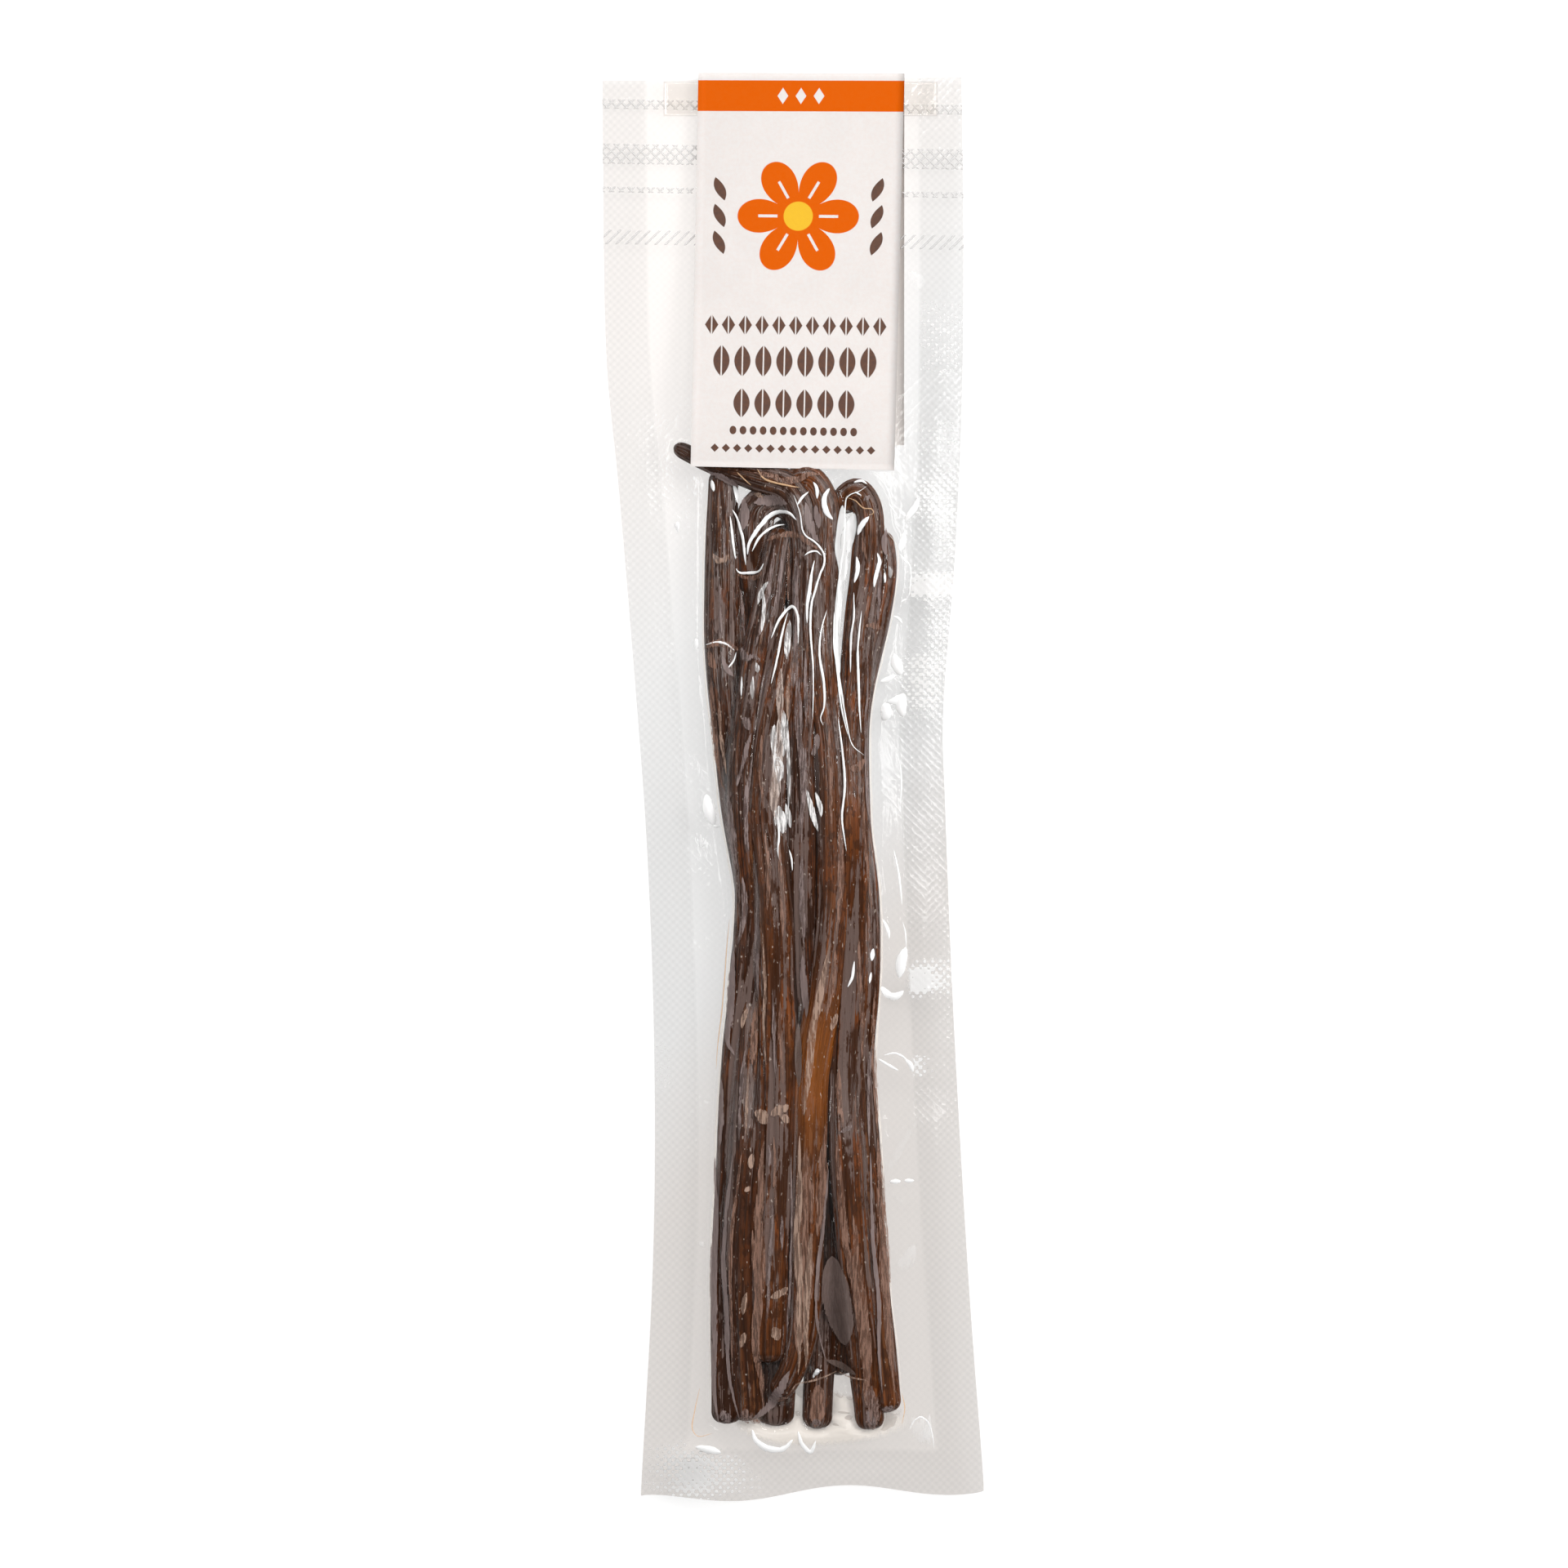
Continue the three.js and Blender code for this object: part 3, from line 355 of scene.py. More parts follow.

# Places where the woven emboss catches the light, painted as white glints: middle, reach across and along,
# strength.
SPARKLES = [
    (26.5, 80, 4, 7, 0.8), (26, 62, 4, 3, 0.55), (26, 51.5, 4.5, 5, 1.1), (27.5, 44, 2.4, 5, 0.85),
    (25.5, 35.8, 8, 2.3, 2.2), (26.5, 28.8, 3, 5, 0.9), (23.6, 18.4, 4.6, 5.6, 1.4),
    (22, -34.6, 2.4, 2.8, 2), (26, -33.8, 3.4, 3.4, 1.2), (22, -49.6, 2.4, 2.2, 1.2),
    (-14, -123, 7, 4, 0.9), (-19, -122, 6, 5, 1.1), (-24, -50, 3, 5, 0.4),
]

# Bands pressed across the film: level, half height, and whether its lines cross.
BANDS = ((121.3, 0.8, True), (112.4, 1.75, True), (106, 0.45, True), (97.5, 1.25, False))
BAND_PITCH = 1.75
BAND_LEAN = 0.017
WEAVE = 1.4  # one wave of the woven emboss

# Rows of ornament on the label: level, half height, half length of the row, pitch, half width
# of a motif, and the powers of its outline |x / w|^p + |y / h|^q = 1. Levels are measured up
# the front from its lower edge.
ORNAMENT = (
    (25.6, 1.9, 16.5, 3, 1.2, 1, 1),
    (19.1, 2.9, 15, 3.75, 1.45, 1, 2),
    (11.5, 2.7, 11.25, 3.75, 1.45, 1, 2),
    (6.6, 0.75, 11.7, 1.8, 0.6, 2, 2),
    (3.4, 0.75, 15, 2, 0.75, 1, 1),
)
STRIPE = (63.9, 69.4)
BLOSSOM = (45.2, 10.8)  # level and radius
PRINT_WIDTH = 36.5

# Lamps, in metres and watts: name, place, size and power.
LAMPS = (
    ("soft_left", (-0.95, 0.1, 0.55), (1.5, 0.6), 3.4),
    ("soft_foot", (0, -1.05, 0.6), (1.2, 0.6), 1.6),
    ("key_right", (0.72, 0.45, 0.8), (0.8, 0.5), 10.6),
    ("key_top", (0.17, 0.1, 0.9), (0.2, 0.2), 1.5),
    ("key_head", (-0.1, 0.85, 0.85), (0.9, 0.3), 5.4),
)

# ---- Settings ----

def colour_setting(name, description, default):
    return FloatVectorProperty(
        name=name, description=description, default=default, subtype="COLOR", min=0, max=1)


class VanillaPodSettings(bpy.types.PropertyGroup):
    thickness: FloatProperty(
        name="Thickness", description="Height of a pressed pod", default=4.6 * MM, unit="LENGTH",
        precision=4)
    wrinkle: FloatProperty(
        name="Wrinkles", description="Depth of the lengthwise wrinkles, as a share of a pod's radius",
        default=0.15, min=0, max=0.4, subtype="FACTOR")
    rings: IntProperty(name="Rings", description="Rings of points along a pod", default=300, min=20)
    sides: IntProperty(name="Sides", description="Points round a pod", default=108, min=12)
    dark: colour_setting("Dark Skin", "Colour of the darkest pods", (0.068, 0.019, 0.0045))
    brown: colour_setting("Brown Skin", "Colour of most pods", (0.105, 0.029, 0.0055))
    orange: colour_setting("Light Skin", "Colour of the lightest pods", (0.25, 0.07, 0.006))
    # Painted sheen: grey-violet streaks standing in for light mirrored by film that lies loose on the skin.
    painted_skin_sheen: colour_setting(
        "Dry Skin", "Colour of the dull streaks where no oil wets the film", (0.15, 0.102, 0.088))
    ridge: colour_setting("Ridge Colour", "Colour of the dry crests of the wrinkles", (0.24, 0.1, 0.042))


class VanillaFilmSettings(bpy.types.PropertyGroup):
    tension: FloatProperty(
        name="Bend", description="Curvature of the film where it spans a hollow, per millimetre",
        default=1.3, min=0.01)
    columns: IntProperty(name="Columns", description="Cells across the front film", default=226, min=20)
    rows: IntProperty(name="Rows", description="Cells along the front film", default=424, min=20)
    clear: colour_setting("Clear Film", "What the smooth front wall lets through", (0.985, 0.983, 0.98))
    # The back film's tints below are its own grey with painted shade, set along a ramp.
    pale: colour_setting(
        "Back Film, Top", "What the embossed back wall lets through at its top edge", (0.965, 0.935, 0.915))
    grey: colour_setting(
        "Back Film", "What the embossed back wall lets through beside the bundle", (0.84, 0.839, 0.837))
    warm: colour_setting(
        "Back Film, Foot", "What the embossed back wall lets through at the bottom seal",
        (0.772, 0.742, 0.72))
    # Painted sheen: a faint white mixed into loose film over the pods, in place of light it mirrors there.
    painted_film_sheen: FloatProperty(
        name="Veil", description="Share of light that loose film over the pods scatters", default=0.008,
        min=0, max=1, subtype="FACTOR")
    milk: colour_setting("Milky Colour", "Colour of the film's own faint haze", (0.8, 0.79, 0.78))
    roughness: FloatProperty(
        name="Roughness", description="Roughness of the clear film", default=0.05, min=0, max=1,
        subtype="FACTOR")
    emboss: FloatProperty(
        name="Emboss", description="Depth of the woven pattern pressed into the film",
        default=0.011 * MM, unit="LENGTH", precision=6)


class VanillaLabelSettings(bpy.types.PropertyGroup):
    paper: colour_setting("Paper", "Colour of the label's paper", (0.73, 0.695, 0.675))
    orange: colour_setting("Orange Ink", "Colour of the stripe and the blossom", (0.66, 0.1, 0))
    yellow: colour_setting("Yellow Ink", "Colour of the blossom's middle", (0.78, 0.46, 0.03))
    brown: colour_setting("Brown Ink", "Colour of the rows of ornament", (0.105, 0.06, 0.047))
    inside: colour_setting("Inner Face", "Colour of the unprinted side of the paper", (0.92, 0.87, 0.84))


class VanillaStageSettings(bpy.types.PropertyGroup):
    floor: colour_setting("Floor", "Colour of the floor", (0.35, 0.35, 0.35))
    glow: FloatProperty(
        name="Floor Glow", description="Light that comes up through the floor, as on a light table",
        default=0.75, min=0)
    world: FloatProperty(
        name="Surround", description="Brightness of the white surround", default=0.1, min=0)
    camera_height: FloatProperty(
        name="Camera Height", description="Height of the camera over the floor", default=1.6,
        unit="LENGTH")
    view_width: FloatProperty(
        name="View Width", description="Width of what the camera sees at the pack", default=0.2794,
        unit="LENGTH")

# ---- Numbers ----

def smoothstep(value, low, high):
    """0 below low, 1 above high, and 3t^2 - 2t^3 of the share t between."""
    t = np.clip((value - low) / (high - low), 0, 1)
    return t * t * (3 - 2 * t)


def catmull_rom(points, fine=24):
    """A centripetal Catmull-Rom curve through the points, as fine points per stretch: each
    point is the Barry-Goldman blend of its four neighbours, with knots spaced by the square
    root of the distance."""
    p = np.asarray(points, float)
    p = np.vstack([2 * p[0] - p[1], p, 2 * p[-1] - p[-2]])
    knots = np.concatenate([[0], np.cumsum(np.linalg.norm(np.diff(p, axis=0), axis=1) ** 0.5)])
    parts = []
    for k in range(1, len(p) - 2):
        t0, t1, t2, t3 = knots[k - 1:k + 3]
        t = np.linspace(t1, t2, fine, endpoint=False)[:, None]
        blend = lambda a, b, ta, tb: ((tb - t) * a + (t - ta) * b) / (tb - ta)
        a1 = blend(p[k - 1], p[k], t0, t1)
        a2 = blend(p[k], p[k + 1], t1, t2)
        a3 = blend(p[k + 1], p[k + 2], t2, t3)
        parts.append(blend(blend(a1, a2, t0, t2), blend(a2, a3, t1, t3), t1, t2))
    return np.vstack(parts + [p[-2:-1]])


def spaced(curve, shares):
    """Points of a curve at shares of its length, and the length."""
    steps = np.linalg.norm(np.diff(curve, axis=0), axis=1)
    reach = np.concatenate([[0], np.cumsum(steps)])
    at = shares * reach[-1]
    return np.stack([np.interp(at, reach, curve[:, k]) for k in range(3)], -1), reach[-1]


def unit(vectors):
    """Vectors brought to length 1."""
    return vectors / np.linalg.norm(vectors, axis=-1, keepdims=True)


def border(grid):
    """Values all the way round the edge of a grid, each once."""
    return np.concatenate([grid[0, :-1], grid[:-1, -1], grid[-1, :0:-1], grid[:0:-1, 0]])


def lattice_noise(along, around, cells_along, cells_around, seed):
    """Smooth random numbers from -1 to 1: values on a lattice, blended by smoothstep between
    its points, with around (0 to 1) closing on itself."""
    values = np.random.default_rng(seed).uniform(-1, 1, (cells_along + 2, cells_around))
    a = np.clip(along, 0, 1) * cells_along
    b = np.mod(around, 1) * cells_around
    i, j = a.astype(int), b.astype(int)
    fa, fb = smoothstep(a - i, 0, 1), smoothstep(b - j, 0, 1)
    j, j2 = np.mod(j, cells_around), np.mod(j + 1, cells_around)
    near = values[i, j] * (1 - fb) + values[i, j2] * fb
    far = values[i + 1, j] * (1 - fb) + values[i + 1, j2] * fb
    return near * (1 - fa) + far * fa


def line_down(points):
    """x as a function of y along a smooth line through (x, y) points that run down the pack."""
    curve = catmull_rom([(x, y, 0) for x, y in points])[::-1]
    return lambda y: np.interp(y, curve[:, 1], curve[:, 0])


left_edge = line_down(LEFT_EDGE)
right_edge = line_down(RIGHT_EDGE)


def bottom_share(y):
    """0 over the bundle and 1 at the bottom edge."""
    return smoothstep(-y, -BUNDLE_BOTTOM, -PACK_BOTTOM)


def seal_wave(across):
    """The wave of the bottom seal, -1 to 1: a sine that fades to nothing at both corners."""
    fade = np.sqrt(np.sin(np.pi * np.clip(across, 0, 1)))
    return fade * np.sin(2 * np.pi * (0.25 + 1.4 * (across - 0.25)))


def film_middle(x, y):
    """Height of the middle of the film where its two walls lie together: low at the top edge,
    level along the bundle, and waving down at the bottom seal."""
    up = smoothstep(PACK_TOP - y, 0, PACK_TOP - BUNDLE_TOP)
    down = bottom_share(y)
    across = (x - left_edge(y)) / (right_edge(y) - left_edge(y))
    level = TOP_EDGE_HEIGHT + (BUNDLE_HEIGHT - TOP_EDGE_HEIGHT) * up
    return level + (BOTTOM_EDGE_HEIGHT - level) * down + SEAL_CURL * down * seal_wave(across)


# ---- Meshes ----

def grid_faces(rows, columns, wrap=False, flip=False):
    """Quads over a grid of rows by columns points; wrap joins the last column to the first."""
    here = np.arange(rows - 1)[:, None] * columns + np.arange(columns if wrap else columns - 1)
    beside = here - here % columns + (here + 1) % columns
    quads = np.stack([here, here + columns, beside + columns, beside], -1).reshape(-1, 4)
    return quads[:, ::-1] if flip else quads


def make_object(name, points, faces, uv=None, smooth=True):
    """An object from points in millimetres and faces, with an optional UV for each point."""
    mesh = bpy.data.meshes.new(name)
    points = np.reshape(points, (-1, 3)) * MM
    mesh.from_pydata(points.tolist(), [], [list(map(int, face)) for face in faces])
    mesh.polygons.foreach_set("use_smooth", [smooth] * len(mesh.polygons))
    if uv is not None:
        layer = mesh.uv_layers.new(name="UVMap")
        corner = np.zeros(len(mesh.loops), int)
        mesh.loops.foreach_get("vertex_index", corner)
        place = np.asarray(uv, float)[corner]
        starts = np.zeros(len(mesh.polygons), int)
        mesh.polygons.foreach_get("loop_start", starts)
        highest = np.repeat(np.maximum.reduceat(place[:, 0], starts), np.diff([*starts, len(corner)]))
        place[:, 0] += highest - place[:, 0] > 0.6
        layer.data.foreach_set("uv", place.ravel())
    mesh.update()
    piece = bpy.data.objects.new(name, mesh)
    bpy.context.scene.collection.objects.link(piece)
    return piece


def add_attribute(piece, name, values):
    """A number at each point of the piece's mesh."""
    attribute = piece.data.attributes.new(name, "FLOAT", "POINT")
    attribute.data.foreach_set("value", np.asarray(values, float).ravel())


# ---- Pods ----

def pod_surface(pod, seed, shares, turns, settings):
    """Points of a pod's skin at shares of its length and turns round it. A pressed oval,
    x = a |cos|^0.84 and z = b |sin|^0.84, is carried along the pod's middle line and narrowed
    to both ends. Its radius falls by exp(-(n / narrow)^2) in furrows where smooth noise n,
    drawn out lengthwise, crosses zero. It is pressed flat on the back film. Returns points,
    the skin's relief and the length."""
    curve = catmull_rom(pod["line"])
    middle, length = spaced(curve, shares)
    ahead, _ = spaced(curve, np.clip(shares + RUN_SHARE, 0, 1))
    behind, _ = spaced(curve, np.clip(shares - RUN_SHARE, 0, 1))
    run = unit(ahead - behind)
    side = unit(np.cross((0, 0, 1), run))
    up = np.cross(run, side)
    head, tip = pod.get("head", HEAD_TAPER), pod.get("tip", TIP_TAPER)
    head = head + (1 - head) * smoothstep(shares, 0, TAPER_SHARE)
    tip = tip + (1 - tip) * smoothstep(1 - shares, 0, TAPER_SHARE)
    end = np.clip(np.minimum(shares, 1 - shares) * length / END_LENGTH, 0, 1)
    half = (pod["width"] / 2 * head * tip * (1 - (1 - end) ** 2) ** 0.4)[:, None]
    s, a = np.meshgrid(shares, turns, indexing="ij")
    stray = lattice_noise(s, a, int(length / WANDER_LENGTH), CELLS_ROUND, seed)
    twisted = a + TWIST * (seed % 3 - 1) * s + WANDER * stray
    slid = s + 0.01 * np.sin(2 * np.pi * (2 * a + 0.1 * seed))
    relief = LUMP * lattice_noise(slid, a, int(length / LUMP_LENGTH), CELLS_ROUND, seed + 50)
    for k, (cells, stretch, narrow, depth) in enumerate(FURROWS):
        slid = s + 0.3 * stretch / length * np.sin(2 * np.pi * (3 * a + 0.37 * seed + 0.3 * k))
        noise = lattice_noise(slid, twisted, int(length / stretch), cells, seed * 7 + k)
        relief = relief - depth * np.exp(-(noise / narrow) ** 2)
    radius = 1 + settings.wrinkle * (relief + 0.5)
    angle = 2 * np.pi * (a - 0.25)
    oval = lambda value: np.sign(value) * np.abs(value) ** OVAL
    wide = half * radius * oval(np.cos(angle))
    thick = half * settings.thickness / MM / pod["width"] * radius * oval(np.sin(angle))
    points = middle[:, None] + side[:, None] * wide[..., None] + up[:, None] * thick[..., None]
    points[..., 2] = np.maximum(points[..., 2], POD_FLOOR)
    return points, relief, length


def build_pod(pod, seed, settings):
    """One pod as a closed tube: rings of skin points, with a fan of faces at each end."""
    rings, sides = settings.rings, settings.sides
    if pod["name"].startswith("pod_under"):
        rings, sides = rings * 2 // 3, sides * 2 // 3
    shares = 0.5 - 0.5 * np.cos(np.linspace(0.02, np.pi - 0.02, rings))
    shares = RING_BUNCH * shares + (1 - RING_BUNCH) * np.linspace(shares[0], shares[-1], rings)
    turns = np.arange(sides) / sides
    points, relief, length = pod_surface(pod, seed, shares, turns, settings)
    points = np.vstack([points.reshape(-1, 3), points[0].mean(0), points[-1].mean(0)])
    around = np.arange(sides)
    after = (around + 1) % sides
    last = (rings - 1) * sides
    centre = np.full(sides, rings * sides)
    head_fan = np.stack([after, around, centre], -1)
    tip_fan = np.stack([last + around, last + after, centre + 1], -1)
    faces = [*grid_faces(rings, sides, wrap=True, flip=True), *head_fan, *tip_fan]
    uv = np.stack([np.tile(turns, rings), np.repeat(shares * length / UV_RUN, sides)], -1)
    uv = np.vstack([uv, [[0.5, 0], [0.5, length / UV_RUN]]])
    piece = make_object(pod["name"], points, faces, uv)
    add_attribute(piece, "relief", [*relief.ravel(), END_RELIEF, END_RELIEF])
    level, reach = pod.get("warm", (1e3, 1))
    add_attribute(piece, "warm", np.exp(-((points[:, 1] - level) / reach) ** 2))
    return piece


# ---- Film ----

REACH_X = 36
REACH_Y = 130
GRID_X = np.arange(-REACH_X, REACH_X + 0.01, 0.2)
GRID_Y = np.arange(REACH_Y, -REACH_Y - 0.01, -0.3)
CELL_X = GRID_X[1] - GRID_X[0]
CELL_Y = GRID_Y[0] - GRID_Y[1]


def cells(x, y):
    """Column and row of places on the grid, with their fractions."""
    return (x - GRID_X[0]) / CELL_X, (GRID_Y[0] - y) / CELL_Y


def neighbours(field):
    """The field's values in the cells on the left, right, above and below of every cell."""
    padded = np.pad(field, 1, mode="edge")
    return padded[1:-1, :-2], padded[1:-1, 2:], padded[:-2, 1:-1], padded[2:, 1:-1]


def pod_heights(settings):
    """Highest and lowest skin of the pods over a fine grid of places, from closely spaced
    points of every pod dropped into the grid's cells."""
    shape = (len(GRID_Y), len(GRID_X))
    top, bottom = np.full(shape, -1e3), np.full(shape, 1e3)
    shares = np.linspace(0.001, 0.999, 1000)
    turns = np.linspace(0, 1, 220, endpoint=False)
    for seed, pod in enumerate(PODS):
        points, _, _ = pod_surface(pod, seed + 1, shares, turns, settings)
        x, y, z = points.reshape(-1, 3).T
        column, row = (np.rint(place).astype(int) for place in cells(x, y))
        np.maximum.at(top, (row, column), z)
        np.minimum.at(bottom, (row, column), z)
    return top, bottom


def stretch_over(obstacle, film, bend):
    """A taut film lying over an obstacle: each height is the mean of its neighbours less a
    pull that gives the film its bend, and never under the obstacle."""
    wx, wy = 1 / CELL_X ** 2, 1 / CELL_Y ** 2
    total = 2 * (wx + wy)
    for _ in range(STRETCH_ROUNDS):
        left, right, above, below = neighbours(film)
        mean = (wx * (left + right) + wy * (above + below)) / total
        film = np.maximum(obstacle, mean - bend / total)
    return film


def cone_cover(cover):
    """The lowest surface over the one given that is nowhere steeper than COVER_SLOPE."""
    for _ in range(COVER_ROUNDS):
        left, right, above, below = neighbours(cover)
        sides = np.maximum(left, right) - COVER_SLOPE * CELL_X
        ends = np.maximum(above, below) - COVER_SLOPE * CELL_Y
        cover = np.maximum(cover, np.maximum(sides, ends))
    return cover


def film_heights(pods, film):
    """Height of the front and back walls over the grid, and the gap between each wall and
    the pods under it. Off the pods the front wall swells a little, by smooth noise."""
    x, y = np.meshgrid(GRID_X, GRID_Y)
    middle = film_middle(x, y)
    top, bottom = pod_heights(pods)
    above_pods = top + POD_CLEAR, middle + FILM / 2
    below_pods = -(bottom - POD_CLEAR), -(middle - FILM / 2)
    walls = []
    for height, level in (above_pods, below_pods):
        obstacle = np.maximum(height, level)
        wall = stretch_over(obstacle, cone_cover(obstacle), film.tension)
        left, right, above, below = neighbours(wall)
        blurred = (above + below + left + right + 4 * wall) / 8
        walls.append((blurred, np.clip(wall - height, 0, NO_POD)))
    (front, front_gap), (back, back_gap) = walls
    down, across = (REACH_Y - y) / (2 * REACH_Y), (x + REACH_X) / (2 * REACH_X)
    swell = SWELL * (1 + lattice_noise(down, across, *SWELL_CELLS, 5))
    loose = smoothstep(front_gap, *SWELL_GAP) * smoothstep(x - left_edge(y), 0, SWELL_MARGIN)
    loose = loose * smoothstep(right_edge(y) - x, 0, SWELL_MARGIN)
    front = front + swell * loose * smoothstep(y, -126, -118) * smoothstep(-y, -100, -57)
    return front, front_gap, -back, back_gap


def sample(field, x, y):
    """Values of a field on the grid at any places, blended between the four nearest cells."""
    column, row = cells(x, y)
    column = np.clip(column, 0, len(GRID_X) - 1.001)
    row = np.clip(row, 0, len(GRID_Y) - 1.001)
    i, j = row.astype(int), column.astype(int)
    down, across = row - i, column - j
    above = field[i, j] * (1 - across) + field[i, j + 1] * across
    below = field[i + 1, j] * (1 - across) + field[i + 1, j + 1] * across
    return above * (1 - down) + below * down


def film_places(columns, rows):
    """Places of a wall's points: rows from the top edge to the waving bottom edge, columns
    from the left edge to the right one, closer over the bundle."""
    u = np.linspace(0, 1, columns + 1)
    across = u + COLUMN_BUNCH * np.sin(2 * np.pi * u)
    nominal = np.interp(np.linspace(0, 1, rows + 1), ROW_SHARES, ROW_LEVELS)[:, None]
    share = (nominal - PACK_TOP) / (PACK_BOTTOM - PACK_TOP)
    left, right = left_edge(nominal), right_edge(nominal)
    x = left + (right - left) * across
    top, bottom = (LEFT_EDGE[k][1] + (RIGHT_EDGE[k][1] - LEFT_EDGE[k][1]) * across for k in (0, -1))
    y = top + (bottom - top) * share
    return x, y - SEAL_CURL * bottom_share(nominal) * seal_wave(across)


def build_wall(name, height, gap, columns, rows, facing_up):
    """One wall of the pouch, with how far it stands off the pods and whether it is in the
    sealed margin at each point."""
    x, y = film_places(columns, rows)
    z = np.maximum(sample(height, x, y), FILM / 2)
    points = np.stack([x, y, z], -1).reshape(-1, 3)
    piece = make_object(name, points, grid_faces(rows + 1, columns + 1, flip=not facing_up))
    add_attribute(piece, "gap", sample(gap, x, y))
    inside = np.minimum(x - left_edge(y), right_edge(y) - x) - SEAL_WIDTH
    inside = np.minimum(inside, y - (PACK_BOTTOM + SEAL_WIDTH + 1))
    # Strength of the painted glints on the emboss at each point.
    glints = sum(strength * np.exp(-((x - px) / wide) ** 2 - ((y - py) / long) ** 4)
                 for px, py, wide, long, strength in SPARKLES)
    add_attribute(piece, "glint", glints)
    add_attribute(piece, "seal", 1 - smoothstep(inside, -0.3, 0.3))
    return piece


def join_parts(name, parts):
    """One object from parts, each the rows and columns of its points, whether its rows close
    round, its crest, which is 1 along the ridge and 0 at the rim, and its tone."""
    points, faces, crests, tones, count = [], [], [], [], 0
    for place, wrap, crest, tone in parts:
        rows, columns = place.shape[:2]
        points.append(place.reshape(-1, 3))
        faces.append(grid_faces(rows, columns, wrap=wrap) + count)
        crests.append(np.broadcast_to(crest, (rows, columns)).ravel())
        tones.append(np.full(rows * columns, tone))
        count += rows * columns
    piece = make_object(name, np.vstack(points), np.vstack(faces))
    add_attribute(piece, "crest", np.concatenate(crests))
    add_attribute(piece, "tone", np.concatenate(tones))
    return piece


def ridge_part(width, line, height, rise=0.4, step=0.25, tone=0.0):
    """A ridge lying on the film along a line of x, y, x, y. At share t of its length its half
    width is w sin(pi t)^0.6, shifted a little by a sine, and its height over the film
    is rise times that, rounded across as 1 - s^2."""
    curve = catmull_rom(np.pad(np.reshape(line, (-1, 2)), ((0, 0), (0, 1))))
    _, length = spaced(curve, np.zeros(1))
    t = np.linspace(0, 1, max(12, int(length / step)))
    middle, _ = spaced(curve, t)
    run = unit(np.gradient(middle[:, :2], axis=0))
    s = np.linspace(-1, 1, 7)
    half = (width / 2 * (np.sin(np.pi * t) ** 0.6 + 0.03))[:, None]
    edge = half * (s + 0.06 * tone * np.sin(0.35 * length * t + length)[:, None])
    x = middle[:, :1] - run[:, 1:] * edge
    y = middle[:, 1:2] + run[:, :1] * edge
    z = sample(height, x, y) + RELIEF_LIFT + rise * half * (1 - s ** 2)
    return np.stack([x, y, z], -1), False, 1 - s ** 2, tone


def pocket_part(seed, px, py, long, wide, turn, rise, height):
    """A dome of film over a pocket of air: h (1 - r^2) above the film, on an oval whose edge
    is pushed in and out by two sines of the angle."""
    r = np.linspace(0.04, 1, POCKET_RINGS)[:, None]
    a = np.arange(POCKET_SIDES) * 2 * np.pi / POCKET_SIDES
    edge = 1 + 0.14 * np.sin(2 * a + seed) + 0.1 * np.sin(3 * a + 2.3 * seed)
    p, q = long * r * edge * np.cos(a), -wide * r * edge * np.sin(a)
    c, s = math.cos(math.radians(turn)), math.sin(math.radians(turn))
    x, y = px - p * s + q * c, py + p * c + q * s
    z = sample(height, x, y) + RELIEF_LIFT + rise * (1 - r ** 2)
    return np.stack([x, y, z], -1), True, 1 - r ** 2, 1 - smoothstep(rise, 0.25, 0.6)


def bundle_sides(gap):
    """Lines down both sides of the bundle, just off the outermost cells with a pod in them, for the painted
    highlights along the film's edge there.
    """
    levels = np.arange(52, -113, -3.0)
    inside = gap[np.searchsorted(-GRID_Y, -levels)] < NO_POD - 0.1
    first = GRID_X[inside.argmax(1)] - CELL_X
    last = GRID_X[len(GRID_X) - 1 - inside[:, ::-1].argmax(1)] + CELL_X
    return np.ravel([first, levels], "F"), np.ravel([last, levels], "F")


def build_rim(front, back):
    """The cut edge of the pouch: a narrow band that joins both walls all the way round."""
    x, y = (border(grid) for grid in film_places(120, 240))
    share = np.linspace(0, 1, 3)[:, None]
    low = np.maximum(sample(back, x, y), 0.01)
    high = np.maximum(sample(front, x, y), FILM / 2)
    out = 0.06 * np.sin(np.pi * share) * np.sign(x)
    band = np.stack([x + out, y + 0 * share, high + (low - high) * share], -1)
    return join_parts("film_edge", [(band, True, 1, 0)])


# ---- Label and tape ----

def label_rise(y):
    """Height of the front panel over the film's middle."""
    start = LABEL_FRONT[0][1]
    return LABEL_ON_TAPE + LABEL_LIFT * smoothstep(LABEL_LIFT_LENGTH + start - y, 0, LABEL_LIFT_LENGTH)


def build_sheet(name, outer, inner, uv, flip=False):
    """A closed sheet between two grids of points, with a rim along its four edges."""
    rows, columns = outer.shape[:2]
    count = rows * columns
    loop = border(np.arange(count).reshape(rows, columns))
    after = np.roll(loop, -1)
    rim = np.stack([loop, after, after + count, loop + count], -1)
    faces = np.vstack([grid_faces(rows, columns, flip=True), grid_faces(rows, columns) + count, rim])
    return make_object(name, [outer, inner], faces[:, ::-1] if flip else faces, np.vstack([uv, uv]))


